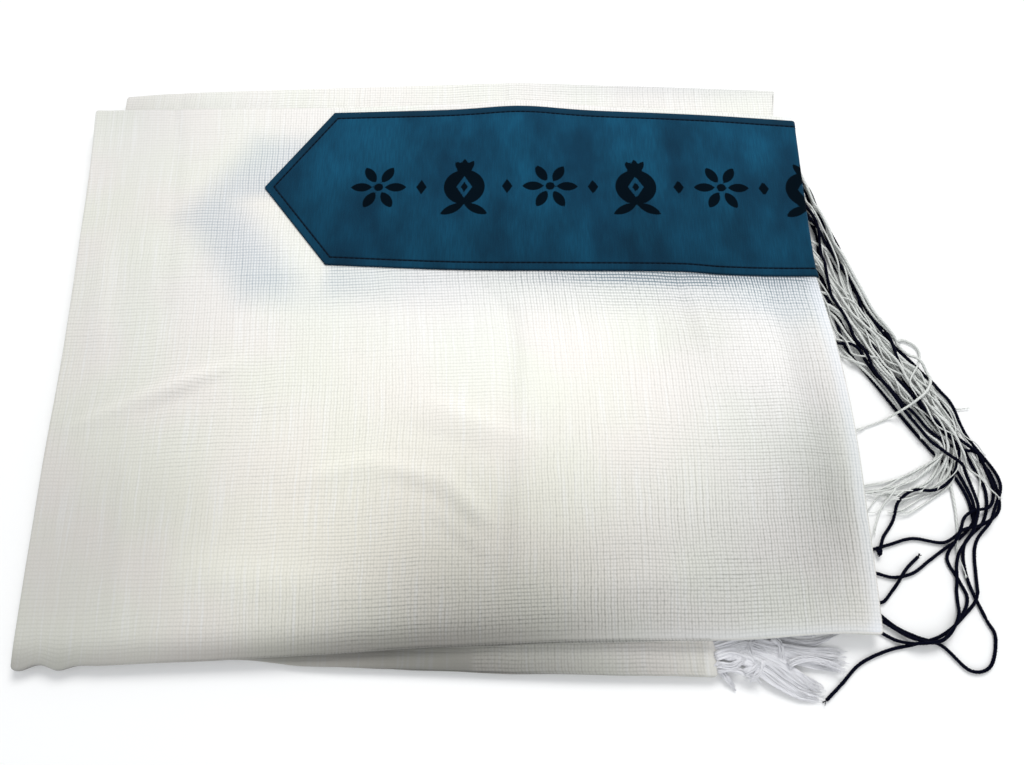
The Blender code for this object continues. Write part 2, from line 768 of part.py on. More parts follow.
def head_bar(mesh_data, start, end, bottom, top, columns, rows, depth):
    """A bar between two plan points; returns the outer faces, row by row, for strands to grow from."""
    along = Vector((end[0] - start[0], end[1] - start[1], 0))
    outward = along.cross(Vector((0, 0, 1))).normalized()
    made = bmesh.ops.create_grid(mesh_data, x_segments=columns, y_segments=rows, size=1)
    for vert in made["verts"]:
        u = (vert.co.x + 1) / 2
        v = (vert.co.y + 1) / 2
        vert.co = Vector((start[0], start[1], lerp(bottom, top, v))) + along * u
    faces = list(mesh_data.faces)
    grown = bmesh.ops.extrude_face_region(mesh_data, geom=faces, use_keep_orig=True)["geom"]
    moved = [item for item in grown if isinstance(item, bmesh.types.BMVert)]
    bmesh.ops.translate(mesh_data, vec=outward * depth, verts=moved)
    bmesh.ops.recalc_face_normals(mesh_data, faces=mesh_data.faces)
    outer = [item for item in grown if isinstance(item, bmesh.types.BMFace) and item.normal.dot(outward) > 0.9]
    outer.sort(key=lambda f: (f.calc_center_median() - Vector((*start, 0))).dot(along))
    return outer


def lower_side(y):
    return table_value(LOWER_RIGHT, y, "y", "x")


def make_tassels(collection, name, finish, strings, head, obstacles):
    """The strings of one colour, drawn out of their head and laid over what lies there already."""
    columns = math.ceil(len(strings) / head["rows"])
    front = BUNDLE[0]["left_y"] - 2
    back = BUNDLE[0]["right_y"] + 2
    start = (lower_side(front) + HEAD_CLEARANCE, front)
    end = (lower_side(back) + HEAD_CLEARANCE, back)
    mesh_data = bmesh.new()
    outer = head_bar(mesh_data, start, end, head["bottom"], head["top"], columns, head["rows"], HEAD_DEPTH)
    outer.sort(key=lambda f: (-round(f.calc_center_median().y, 1), f.calc_center_median().z))
    ordered = sorted(range(len(strings)), key=lambda k: -strings[k]["lane"])
    face_of = {}
    for face, index in zip(outer, ordered):
        face_of[index] = face
    laying = sorted(range(len(strings)), key=lambda k: (face_of[k].calc_center_median().z, k))
    for index in laying:
        string = strings[index]
        face = face_of[index]
        root = face.calc_center_median()
        way = string_way(string, root.xy + face.normal.xy * ROOT_LENGTH)
        heights, own = lay_string(way, obstacles, root.z)
        points = [Vector((point.x, point.y, height)) for point, height in zip(way, heights)]
        grow_strand(mesh_data, face, points, STRING / 2 * 0.8, STRING / 2 * 0.8, 1.0)
        obstacles = np.vstack((obstacles, own))
    return new_object(name, mesh_data, collection, finish), obstacles


def make_fringe(collection):
    """The locks of the short hem's fringe, from a strip beside the end of the lower packet."""
    strip = FRINGE_STRIP
    start = (lower_side(strip["front"]) + STRIP_CLEARANCE, strip["front"])
    end = (lower_side(strip["back"]) + STRIP_CLEARANCE, strip["back"])
    mesh_data = bmesh.new()
    count = len(FRINGE_LOCKS)
    outer = head_bar(mesh_data, start, end, strip["bottom"], strip["top"], count, 1, strip["depth"])
    outer.sort(key=lambda f: f.calc_center_median().y)
    rows = []
    for face, lock in zip(outer, FRINGE_LOCKS):
        root = face.calc_center_median()
        plan = [root.xy + face.normal.xy * ROOT_LENGTH] + [Vector(point) for point in lock["way"]]
        way = smooth_way(plan, [LOCK_STEP] * len(lock["way"]))
        height = FLOOR_GAP + lock["thick"] / 2 + 0.2
        points = [Vector((point.x, point.y, height)) for point in way]
        grow_strand(mesh_data, face, points, lock["width"] / 2, lock["thick"] / 2, 0.6)
        _, samples = sampled(way)
        for x, y in samples:
            rows.append((x, y, height + lock["thick"] / 2 - 1.0, lock["width"] / 2 + 1.6, STRING / 2 + 1.6))
    return new_object("fringe", mesh_data, collection, "fringe"), np.array(rows)


def main():
    for old in list(bpy.data.objects):
        bpy.data.objects.remove(old, do_unlink=True)
    collection = bpy.data.collections.new("tallit")
    bpy.context.scene.collection.children.link(collection)
    make_cloth(collection)
    make_atarah(collection)
    _, obstacles = make_fringe(collection)
    _, obstacles = make_tassels(
        collection, "tzitzit_white", "white string", WHITE_STRINGS, WHITE_HEAD, obstacles
    )
    make_tassels(collection, "tzitzit_black", "black string", BLACK_STRINGS, BLACK_HEAD, obstacles)


main()
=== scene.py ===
"""The looks of the folded tallit: gauze, collar band, fringe and tassel strings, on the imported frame.

Sizes in the tables are millimetres, in the frame's axes: X along the object, Y towards its back,
Z up from the surface it lies on.
"""

import math

import bmesh
import bpy
import numpy as np
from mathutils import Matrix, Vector, noise


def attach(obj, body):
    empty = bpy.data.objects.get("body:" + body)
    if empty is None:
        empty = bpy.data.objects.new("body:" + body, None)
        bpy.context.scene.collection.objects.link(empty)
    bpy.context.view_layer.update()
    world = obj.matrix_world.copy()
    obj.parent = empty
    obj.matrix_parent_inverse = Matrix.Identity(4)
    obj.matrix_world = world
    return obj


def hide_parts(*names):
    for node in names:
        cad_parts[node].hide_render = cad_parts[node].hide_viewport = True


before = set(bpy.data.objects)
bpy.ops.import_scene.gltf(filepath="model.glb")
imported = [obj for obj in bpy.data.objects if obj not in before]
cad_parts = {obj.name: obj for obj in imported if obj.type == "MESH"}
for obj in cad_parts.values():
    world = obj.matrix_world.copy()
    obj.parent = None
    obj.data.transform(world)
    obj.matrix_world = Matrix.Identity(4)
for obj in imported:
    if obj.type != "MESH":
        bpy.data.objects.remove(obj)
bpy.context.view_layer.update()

MM = 0.001


def table(columns, *lines):
    """The lines as rows with the named columns."""
    names = columns.split()
    return tuple(dict(zip(names, line)) for line in lines)


# ---------------------------------------------------------------- materials and meshes
class Value:
    """A node's output. Plain arithmetic joins it to other outputs and to numbers."""

    def __init__(self, nodes, socket):
        self.nodes = nodes
        self.socket = socket

    def __add__(self, other):
        return self.nodes.math("ADD", self, other)

    def __sub__(self, other):
        return self.nodes.math("SUBTRACT", self, other)

    def __rsub__(self, other):
        return self.nodes.math("SUBTRACT", other, self)

    def __mul__(self, other):
        return self.nodes.math("MULTIPLY", self, other)


class Nodes:
    """A material, with short ways to add and join its nodes."""

    def __init__(self, name, **settings):
        self.material = bpy.data.materials.new(name)
        self.material.use_nodes = True
        self.tree = self.material.node_tree
        self.shader = self.tree.nodes["Principled BSDF"]
        self.shade(**settings)

    def shade(self, **settings):
        """Sets or joins the shader's sockets; their names are written with _ for a space."""
        for socket, value in settings.items():
            self.join(value, self.shader.inputs[socket.replace("_", " ")])

    def join(self, value, socket):
        if isinstance(value, Value):
            self.tree.links.new(value.socket, socket)
        else:
            socket.default_value = value

    def add(self, kind, output, values=(), **settings):
        """A new node of the kind, with its input sockets set or joined in order; its output is returned."""
        node = self.tree.nodes.new("ShaderNode" + kind)
        for name, value in settings.items():
            setattr(node, name, value)
        for place, value in values:
            self.join(value, node.inputs[place])
        return Value(self, node.outputs[output])

    def math(self, operation, *values):
        return self.add("Math", 0, enumerate(values), operation=operation)

    def vector_math(self, operation, *values):
        return self.add("VectorMath", 0, enumerate(values), operation=operation)

    def smooth(self, value, low, high, start=0.0, end=1.0):
        """The value taken from low..high to start..end, eased and held at both ends."""
        sockets = enumerate((value, low, high, start, end))
        return self.add("MapRange", 0, sockets, interpolation_type="SMOOTHSTEP")

    def mix(self, part, first, second, blend="MIX"):
        colors = ((*color, 1) if isinstance(color, tuple) else color for color in (first, second))
        return self.add("Mix", 2, zip((0, 6, 7), (part, *colors)), data_type="RGBA", blend_type=blend)

    def layers(self, color, *layers):
        """The color with others laid over it in turn, each by its own share."""
        for share, over in layers:
            color = self.mix(share, color, over)
        return color

    def attribute(self, name):
        return self.add("Attribute", "Fac", attribute_name=name)

    def weave(self):
        """Where a point lies in its cloth or along its string, in metres."""
        return self.add("UVMap", 0, uv_map="weave")

    def noise(self, vector, scale, detail=2.0, roughness=0.5, output="Fac"):
        """Noise of that scale, or of three scales, one for each direction."""
        if isinstance(scale, tuple):
            vector = self.vector_math("MULTIPLY", vector, scale)
            scale = 1.0
        sockets = (("Vector", vector), ("Scale", scale), ("Detail", detail), ("Roughness", roughness))
        return self.add("TexNoise", output, sockets)

    def bump(self, height, strength, distance):
        sockets = (("Height", height), ("Strength", strength), ("Distance", distance))
        self.shade(Normal=self.add("Bump", "Normal", sockets))


def two_tones(name, first, second, scale, detail, **settings):
    """A plain material that goes from one color to the other with a fine noise."""
    nodes = Nodes(name, **settings)
    nodes.shade(Base_Color=nodes.mix(nodes.noise(nodes.weave(), scale, detail), first, second))
    return nodes.material


def put_in_scene(name, data, place=(0, 0, 0)):
    result = bpy.data.objects.new(name, data)
    result.location = place
    bpy.context.scene.collection.objects.link(result)
    return result


def make_mesh(name, points, faces, uv, values):
    """A smooth object from points in millimetres, with its weave coordinates and named values."""
    mesh = bpy.data.meshes.new(name)
    mesh.from_pydata((points * MM).tolist(), [], faces)
    mesh.shade_smooth()
    layer = mesh.uv_layers.new(name="weave")
    corners = np.empty(len(mesh.loops), int)
    mesh.loops.foreach_get("vertex_index", corners)
    layer.data.foreach_set("uv", (uv * MM)[corners].ravel())
    for key, numbers in values.items():
        attribute = mesh.attributes.new(key, "FLOAT", "POINT")
        attribute.data.foreach_set("value", np.asarray(numbers, np.float32))
    return put_in_scene(name, mesh)


def quads(grid):
    """The four-sided faces between the points of a grid."""
    return np.stack((grid[:-1, :-1], grid[:-1, 1:], grid[1:, 1:], grid[1:, :-1]), axis=-1).reshape(-1, 4)


def rim_of(grid):
    """The outer places of a grid in turn: its first row, its last column, and back by the other two."""
    return np.concatenate((grid[0, :-1], grid[:-1, -1], grid[-1, :0:-1], grid[:0:-1, 0]))


def face_outwards(piece):
    """Turns the faces of a closed piece outwards."""
    shape = bmesh.new()
    shape.from_mesh(piece.data)
    bmesh.ops.recalc_face_normals(shape, faces=shape.faces)
    shape.to_mesh(piece.data)
    shape.free()


def dress(piece, material, slot, *nodes):
    """Gives a piece its material and its place in the part."""
    piece.data.materials.append(material)
    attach(piece, "root")
    if nodes:
        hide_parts(*nodes)


# ---------------------------------------------------------------- camera, light and floor
CAMERA_PLACE = (-0.0013, -0.187, 0.42)
CAMERA_PITCH = 68.0  # degrees below the horizon
NEAREST_SEEN = 0.01
FOCAL_PIXELS = 850.0
PICTURE_WIDTH = 1024
SENSOR = 36.0
SKY = {"Color": (0.96, 0.98, 1.0, 1), "Strength": 0.58}
LIGHTS = table(
    "name place target size power color",
    ("key", (0.24, 0.88, 1.22), (0.02, 0.02, 0.0), 0.8, 13.8, (1.0, 0.995, 0.98)),
    ("fill", (0.12, -1.15, 1.0), (0.0, -0.1, 0.0), 1.4, 5.2, (0.97, 0.985, 1.0)),
)
FLOOR_HALF_WIDTH = 4.0
FLOOR_COLOR = (0.96, 0.96, 0.96, 1)
FLOOR_DROP = 0.0002  # below the underside, so that the two faces don't meet


def make_camera():
    data = bpy.data.cameras.new("camera")
    data.sensor_fit = "HORIZONTAL"
    data.sensor_width = SENSOR
    data.lens = SENSOR * FOCAL_PIXELS / PICTURE_WIDTH
    data.clip_start = NEAREST_SEEN
    camera = put_in_scene("camera", data, CAMERA_PLACE)
    camera.rotation_euler = (math.radians(90 - CAMERA_PITCH), 0, 0)
    bpy.context.scene.camera = camera


def make_light(name, place, target, size, power, color):
    data = bpy.data.lights.new(name, "AREA")
    data.shape = "DISK"
    data.size = size
    data.energy = power
    data.color = color
    light = put_in_scene(name, data, place)
    light.rotation_euler = (Vector(target) - Vector(place)).to_track_quat("-Z", "Y").to_euler()


def make_studio():
    world = bpy.data.worlds.new("studio")
    world.use_nodes = True
    for socket, value in SKY.items():
        world.node_tree.nodes["Background"].inputs[socket].default_value = value
    bpy.context.scene.world = world
    bpy.context.scene.view_settings.view_transform = "Standard"
    for light in LIGHTS:
        make_light(**light)


def make_floor():
    mesh = bpy.data.meshes.new("floor")
    sides = bmesh.new()
    bmesh.ops.create_grid(sides, x_segments=1, y_segments=1, size=FLOOR_HALF_WIDTH)
    sides.to_mesh(mesh)
    sides.free()
    mesh.materials.append(Nodes("pale floor", Base_Color=FLOOR_COLOR, Roughness=0.9).material)
    floor = put_in_scene("floor", mesh, (0, 0, -FLOOR_DROP))


# ---------------------------------------------------------------- the folded cloth's form
CLOTH_COLUMNS = 206
CLOTH_ROWS = 150
EDGE_CROWDING = 0.35
NOSE_INSET = 1.0
NOSE_TURNS = (62, 32, 0, -32, -62)  # degrees round the rounded edge of a leaf, from its top down
FRILL_DEPTH = 9.0  # how far the small waves at the front left reach into the cloth
SELVEDGE = 9.0  # width of the denser weave along the right side
TOP_LEAF = 2.0
SLOT_HEIGHT = 2.3  # the slot under the top leaf, into which the band is tucked
SLOT_DEPTH = 10.0
SLOT_FRONT = 26.0
SLOT_LEFT = 138.0
GROOVE_DEPTH = 3.2  # the gaps between the other leaves
GROOVE_GAP = 0.22
UPPER_LEAVES = 4  # below the topmost one
LOWER_LEAVES = 4
LEAF_SPREAD = 0.8  # how far the leaves' edges lie apart in plan
LEDGE_STOPS = (0.12, 0.28, 0.44, 0.6, 0.76, 0.9, 1.0)
LEDGE_INSET = 1.6
UNDERSIDE_INSET = 3.0
STRIP_BACK = 150  # behind this y the lower packet's top shows as the back strip

UPPER = {
    "corner": 1.6,
    "front": table(
        "x y",
        (-234, -162.2), (-202, -161.6), (-175, -160.4), (-129, -158.4), (-86, -156.2), (-44, -153.5),
        (40, -150.3), (104, -150.1), (152, -147.2), (173, -147.5),
    ),
    "frill": table(
        "x y",
        (-234.0, -0.7), (-229.5, -1.0), (-221.2, 1.4), (-212.2, -1.2), (-203.0, 0.5), (-192.0, 0.0),
        (-150.0, 0.0),
    ),
    "back": table(
        "x y",
        (-247, 151.5), (-106, 150.5), (0, 152.5), (80, 149.5), (164, 144.5),
    ),
    "left": table(
        "y x",
        (-162, -233.7), (-122, -234.9), (-93, -235.7), (-63, -236.6), (-31, -237.0), (3, -238.0),
        (76, -242.0), (119, -245.0), (152, -248.2),
    ),
    "right": table(
        "y x",
        (-148, 171.8), (-94, 172.0), (-48, 172.3), (-4, 169.4), (30, 164.6), (46, 162.6), (88, 162.4),
        (144, 163.2),
    ),
}
LOWER = {
    "corner": 1.6,
    "front": table(
        "x y",
        (-227, -158.5), (-128, -158.5), (-100, -161.0), (-44, -162.5), (40, -165.1), (94, -165.9),
    ),
    "back": table(
        "x y",
        (-235, 168.0), (-204, 170.4), (-112, 173.4), (-9, 175.6), (77, 174.2), (159, 170.4),
    ),
    "left": table(
        "y x",
        (-158, -226.0), (0, -229.0), (168, -235.5),
    ),
    "right": table(
        "y x",
        (-166, 94.0), (-90, 108.0), (40, 134.0), (171, 158.5),
    ),
}
TOP_ACROSS = (-240, -165, -20, 110, 172)
TOP_HEIGHT = table(
    "y heights",
    (-155, (7.0, 9.5, 12.5, 12.5, 9.5)),
    (-110, (8.5, 14.5, 17.2, 17.0, 12.5)),
    (-40, (11.0, 17.0, 18.8, 18.4, 14.0)),
    (60, (13.0, 17.6, 19.2, 18.8, 15.5)),
    (150, (13.5, 16.2, 18.0, 17.2, 15.5)),
)
REST_ACROSS = (-240, -120, 0, 95, 172)
REST_HEIGHT = table(
    "y heights",
    (-165, (2.4, 3.6, 5.2, 5.2, 4.6)),
    (0, (4.6, 7.0, 8.0, 8.0, 8.0)),
    (175, (5.6, 7.0, 8.2, 8.0, 8.3)),
)
# The large soft forms, which the frame's solid has too.
MAIN_CREASES = table(
    "start end half_width height",
    ((0, 182), (8, 100), 27, 3.4),
    ((-222, -42), (-146, -18), 11, 1.3),
    ((-118, -68), (-44, -69), 11, 1.2),
    ((-4, 30), (3, -52), 9, -1.0),
    ((3, -52), (-10, -136), 9, -1.2),
)
# Finer creases of the top: ridges above 0, troughs below.
FINE_CREASES = table(
    "start end half_width height",
    ((-8, 174), (-3, 150), 3.2, -0.9),
    ((-1, 168), (2, 148), 3.0, 0.5),
    ((-204, 172), (-195, 128), 3.0, -0.7),
    ((-195, 134), (-184, 8), 4.0, -0.5),
    ((-226, -47), (-186, -30), 3.6, 1.4),
    ((-192, -32), (-142, -13), 3.8, 1.8),
    ((-188, -40), (-150, -22), 3.0, -1.6),
    ((-108, -76), (-71, -66), 5.0, 1.5),
    ((-76, -66), (-30, -75), 5.0, 1.6),
    ((-34, -74), (-12, -95), 4.5, 1.4),
    ((-60, -76), (-34, -85), 4.0, -1.1),
    ((-38, -84), (-12, -104), 4.0, -1.5),
    ((-42, -94), (-10, -118), 3.5, -1.2),
    ((-46, -34), (9, -55), 5.0, 1.5),
    ((-58, -46), (-6, -63), 5.0, -1.1),
    ((0, 14), (-1, -54), 4.5, -1.6),
    ((-1, -50), (-5, -124), 4.5, -1.5),
    ((-22, 38), (0, 12), 3.0, -0.7),
    ((87, 34), (96, -8), 3.0, -0.8),
    ((95, 32), (104, -4), 3.0, 0.5),
    ((140, 30), (157, -54), 7.0, -2.0),
    ((156, -48), (160, -116), 7.0, -1.8),
    ((134, 2), (138, -60), 7.0, 1.1),
    ((-191, -64), (-184, -150), 5.0, 0.4),
    ((-197, -60), (-192, -146), 5.0, -0.2),
    ((20, -128), (96, -118), 8.0, 1.1),
    ((-160, -118), (-60, -128), 9.0, 1.2),
    ((-226, 60), (-214, -20), 6.0, 0.8),
)
# The top rolls down over the front fold: how far it drops there, and how much less light the roll gets.
FRONT_ROLL = table(
    "x drop shade",
    (-234, 1.2, 0.36), (-178, 2.0, 0.37), (-122, 2.6, 0.51), (-72, 2.9, 0.53), (-16, 2.8, 0.32),
    (45, 2.0, 0.04), (104, 0.9, -0.02), (172, 0.3, -0.05),
)
ROLL_REACH = 15.0
CUT_X = 408.0  # along the top of the upper packet
CUT_Y = 306.0
# Soft waves: their height, their length, and the level that sets each noise apart from the others.
TOP_WAVES = table("height length level", (0.28, 46.0, 0.3), (0.07, 9.0, 4.7))
STRIP_WAVES = table("height length level", (0.12, 22.0, 9.1))
BAND_WAVES = table("height length level", (0.10, 11.0, 2.2))
NAP_WAVES = table("height length level", (0.22, 34.0, 6.4), (0.10, 13.0, 2.9))
BESIDE_BAND = 4.0  # the small creases come back over this distance from the band


def ramp(value, start, reach):
    """0 up to the start and 1 from the reach beyond it; a reach below 0 goes the other way."""
    return np.clip((value - start) / reach, 0, 1)


def smooth_through(places, values, at):
    """A smooth curve through the values at the places, a cubic in each span, read at many points."""
    places = np.asarray(places, float)
    at = np.asarray(at, float)
    values = np.asarray(values, float)
    if values.ndim == 1:
        values = np.repeat(values[:, None], at.size, axis=1)
    slopes = np.empty_like(values)
    slopes[1:-1] = (values[2:] - values[:-2]) / (places[2:] - places[:-2])[:, None]
    slopes[0] = (values[1] - values[0]) / (places[1] - places[0])
    slopes[-1] = (values[-1] - values[-2]) / (places[-1] - places[-2])
    span = np.clip(np.searchsorted(places, at) - 1, 0, len(places) - 2)
    point = np.arange(at.size)
    width = places[span + 1] - places[span]
    part = np.clip((at - places[span]) / width, 0, 1)
    return (
        values[span, point] * (2 * part**3 - 3 * part**2 + 1)
        + values[span + 1, point] * (3 * part**2 - 2 * part**3)
        + slopes[span, point] * width * (part**3 - 2 * part**2 + part)
        + slopes[span + 1, point] * width * (part**3 - part**2)
    )


def table_curve(rows, at, along="x", value="y"):
    return smooth_through([row[along] for row in rows], [row[value] for row in rows], at)


def table_height(rows, across, x, y):
    lines = [smooth_through(across, row["heights"], x) for row in rows]
    return smooth_through([row["y"] for row in rows], np.array(lines), y)


def side_at(packet, side, at):
    """Where a side of the packet is: its front or back at an x, its left or right at a y."""
    along, value = ("y", "x") if side in ("left", "right") else ("x", "y")
    return table_curve(packet[side], at, along, value)


def between(packet, sides, at, inset):
    """Two opposite sides of the packet, both moved inwards by the inset."""
    return side_at(packet, sides[0], at) + inset, side_at(packet, sides[1], at) - inset


def crease_height(creases, x, y):
    """What the creases add: each a soft ridge or trough along a span, fading at its ends."""
    height = np.zeros_like(x)
    for crease in creases:
        start = np.array(crease["start"], float)
        span = np.array(crease["end"], float) - start
        along = ((x - start[0]) * span[0] + (y - start[1]) * span[1]) / (span @ span)
        held = np.clip(along, 0, 1)
        away = np.hypot(x - start[0] - held * span[0], y - start[1] - held * span[1])
        fade = 0.35 + 0.65 * np.sin(math.pi * held)
        height += crease["height"] * fade * np.exp(-((away / crease["half_width"]) ** 2))
    return height


def with_waves(value, x, y, waves):
    """The value over the plan, with a smooth noise added for each of the waves."""
    for wave in waves:
        points = zip(x / wave["length"], y / wave["length"])
        heights = [noise.noise(Vector((a, b, wave["level"]))) for a, b in points]
        value = value + wave["height"] * np.array(heights)
    return value


def form_height(x, y):
    """Height of the top without its small creases, as the frame's solid has it."""
    return table_height(TOP_HEIGHT, TOP_ACROSS, x, y) + crease_height(MAIN_CREASES, x, y)


def rest_height(x, y):
    """Height of the lower packet's top, which the upper packet rests on."""
    return table_height(REST_HEIGHT, REST_ACROSS, x, y)


def from_front(x, y):
    return np.clip(y - side_at(UPPER, "front", x), 0, None)


def top_height(x, y):
    """Height of the top; it lies flat where the band presses on it."""
    roll = np.clip(1 - from_front(x, y) / ROLL_REACH, 0, 1) ** 2 * table_curve(FRONT_ROLL, x, "x", "drop")
    fine = with_waves(crease_height(FINE_CREASES, x, y), x, y, TOP_WAVES)
    return form_height(x, y) - roll + fine * ramp(-inside_band(x, y), 0, BESIDE_BAND)


def strip_height(x, y):
    """Height of the lower packet's top, where it shows behind and in front of the upper packet."""
    rise = crease_height(MAIN_CREASES[:1], x, y) * 0.8 + crease_height(FINE_CREASES[:3], x, y)
    return with_waves(rest_height(x, y) + ramp(y, STRIP_BACK, 6) * rise, x, y, STRIP_WAVES)


def packet_points(packet, s, t, inset):
    """Plan positions of points of a packet: s from its left side to its right, t from front to back."""
    radius = packet["corner"]
    y = np.zeros_like(s)
    for _ in range(6):
        left, right = between(packet, ("left", "right"), y, inset)
        x = left + (right - left) * s
        front, back = between(packet, ("front", "back"), x, inset)
        y = front + (back - front) * t
    side_x = np.where(right - x < x - left, 1, -1)
    side_y = np.where(back - y < y - front, 1, -1)
    a = 1 - np.minimum(right - x, x - left) / radius
    b = 1 - np.minimum(back - y, y - front) / radius
    near = (a > 0) & (b > 0)
    a = np.where(near, a, 0)
    b = np.where(near, b, 0)
    x = x + side_x * radius * a * (np.sqrt(1 - b * b / 2) - 1)
    y = y + side_y * radius * b * (np.sqrt(1 - a * a / 2) - 1)
    if "frill" in packet:
        y = y + side_at(packet, "frill", x) * np.exp(-(((y - front) / FRILL_DEPTH) ** 2))
    return x, y


def crowded(count):
    """Places from 0 to 1 that lie closer together near both ends."""
    even = np.arange(count + 1) / count
    return even + EDGE_CROWDING * (0.5 - 0.5 * np.cos(math.pi * even) - even)


def slot_share(x, y):
    """1 on the rim where the band goes round the top leaf, 0 on the rest of it."""
    return np.minimum(ramp(y, SLOT_FRONT, 6), ramp(x, SLOT_LEFT, 10))


class Rim:
    """Collects the rings down the cloth's layered side, with the place of each in the weave."""

    def __init__(self, s, t):
        self.s = s
        self.t = t
        self.rings = []
        self.weaves = []
        self.weave = np.column_stack((s * CUT_X, t * CUT_Y))
        away = np.column_stack(((2 * s - 1) ** 31, (2 * t - 1) ** 31))
        self.away = away / np.maximum(np.hypot(*away.T), 1e-9)[:, None]

    def plan(self, packet, inset=0.0):
        return packet_points(packet, self.s, self.t, inset)

    def add(self, x, y, z, laid_flat=False):
        ring = np.column_stack((x, y, z))
        if laid_flat:
            self.weave = ring[:, :2]
        elif self.rings:
            travel = np.linalg.norm(ring - self.rings[-1], axis=1)
            self.weave = self.weave + travel[:, None] * self.away
        self.rings.append(ring)
        self.weaves.append(self.weave)

    def nose(self, packet, inset, top, foot):
        """The rounded edge of one folded layer."""
        radius = (top - foot) / 2
        for degrees in NOSE_TURNS:
            turn = math.radians(degrees)
            x, y = self.plan(packet, inset + radius * (1 - math.cos(turn)))
            self.add(x, y, (top + foot) / 2 + radius * math.sin(turn))

    def groove(self, packet, inset, height, gap):
        """The gap under a layer: in along its underside and out again on the next one."""
        x, y = self.plan(packet, inset)
        self.add(x, y, height)
        self.add(x, y, height - gap)

    def wander(self, leaf):
        """How far each point of a leaf's nose lies in from the packet's side."""
        turn = np.arctan2(self.t - 0.5, self.s - 0.5)
        wide = 0.9 * np.sin(3 * turn + 2.1 * leaf) + 0.5 * np.sin(7 * turn + 1.3 * leaf)
        return LEAF_SPREAD * (0.35 * leaf + wide + 0.25 * np.sin(23 * turn + leaf))

    def leaves(self, packet, count, first, top, foot):
        """Several layers that share the height from top to foot."""
        for leaf in range(count):
            upper = top + (foot - top) * leaf / count
            lower = top + (foot - top) * (leaf + 1) / count
            inset = self.wander(leaf + first) if leaf + first else 0.0
            self.nose(packet, inset, upper, lower + GROOVE_GAP)
            if leaf < count - 1:
                self.groove(packet, inset + GROOVE_DEPTH, lower + GROOVE_GAP, GROOVE_GAP)

    def ledge(self):
        """From the gap under the upper packet over the lower one, or back under where that ends first."""
        x, y = self.plan(LOWER, GROOVE_DEPTH)
        x = np.clip(x, *between(UPPER, ("left", "right"), y, GROOVE_DEPTH))
        y = np.clip(y, *between(UPPER, ("front", "back"), x, GROOVE_DEPTH))
        self.add(x, y, rest_height(x, y) + 0.1, laid_flat=True)
        end_x, end_y = self.plan(LOWER, LEDGE_INSET)
        for part in LEDGE_STOPS:
            at_x = x + (end_x - x) * part
            at_y = y + (end_y - y) * part
            self.add(at_x, at_y, strip_height(at_x, at_y), laid_flat=True)


# ---------------------------------------------------------------- the gauze and its looks
# The hidden half of the band shows through the gauze.
HIDDEN_BAND = {
    "tip": (-184.0, 75.0),
    "top": (-148.5, 127.6),
    "bottom": (-145.5, 23.0),
    "soft": 24.0,
    "clear": 4.0,  # beside the lower side of the band's tip
    "fade_from": -125.0,
    "fade_over": 110.0,
    "left_over": 0.3,
}
# Soft patches of the cloth where its layers lie closer or further apart, so the weave's gaps, which show
# painted shade, show more or less strongly; each patch also lightens the cloth with painted light or
# darkens it with painted shade, and tints it cooler or warmer.
PATCHES = table(
    "what x y long deep gaps light cool",
    ("front slope", -12, -168, 97, 58, 0.38, -0.6, 0.0),
    ("front right", 122, -124, 76, 62, 0.16, -0.19, 0.0),
    ("front left", -225, -140, 95, 90, -0.18, -0.29, 0.0),
    ("left side", -245, 0, 80, 150, -0.08, -0.16, 0.0),
    ("back left", -210, 130, 70, 60, -0.16, -0.08, 0.0),
    ("right side", 160, -60, 60, 90, 0.18, -0.09, 0.0),
    ("right hollow", 152, -78, 20, 62, 0.04, -0.15, 0.0),
    ("under the band", 96, 37, 95, 6, 1.0, -0.18, 0.8),
    ("below the band", 95, 24, 105, 11, 0.3, 0.0, 0.3),
    ("band's right end", 150, 26, 22, 22, 0.1, -0.05, 0.4),
    ("middle", 20, -10, 90, 45, -0.12, 0.04, 0.0),
    ("hollow below the band", 92, 2, 22, 16, 0.1, -0.05, 0.0),
    ("left of the front", -120, -118, 80, 24, -0.05, 0.03, 0.0),
    ("back strip", 110, 176, 105, 12, 0.05, -0.17, 0.45),
    ("back left corner", -236, 165, 45, 30, 0.0, -0.1, 0.0),
    ("lower middle", -20, -92, 62, 42, 0.0, -0.12, 0.0),
    ("lower left", -168, -95, 38, 36, 0.0, -0.06, 0.0),
    ("beside the right hollow", 138, -5, 24, 42, 0.0, 0.09, 0.0),
    ("warm middle", -60, -105, 110, 66, 0.0, 0.0, -0.9),
    ("cool right", 140, -33, 55, 110, 0.0, 0.0, 0.42),
    ("cool back", 0, 150, 240, 40, 0.0, 0.0, 0.3),
    ("cool beside the band", -45, 33, 160, 34, 0.0, 0.0, 0.3),
)
GAPS_SHOW = 0.33  # away from the patches
CREASE_SHADE_PER_MM = 0.035  # painted shade in a trough, painted light on a ridge, for each millimetre of the crease's depth or height
WARP = 1.56  # between threads, along X
WEFT = 1.80
LIT_THROUGH = 0.40
STRIP_HEM = -19.0  # where the plain part of the front strip ends, along X
LOWER_HEM = 7.0  # width of the hem at the lower packet's right end
LOWER_HEM_BACK = -145  # the hem shows in front of this y


def patched(start, key, x, y):
    """The value over the plan, with what each soft patch adds to it."""
    value = np.full_like(x, start)
    for patch in PATCHES:
        away = ((x - patch["x"]) / patch["long"]) ** 2 + ((y - patch["y"]) / patch["deep"]) ** 2
        value += patch[key] * np.exp(-away)
    return value


def left_of(x, y, start, end):
    """How far a plan point lies to the left of the line from start to end."""
    run, rise = np.array(end) - np.array(start)
    return (run * (y - start[1]) - rise * (x - start[0])) / np.hypot(run, rise)


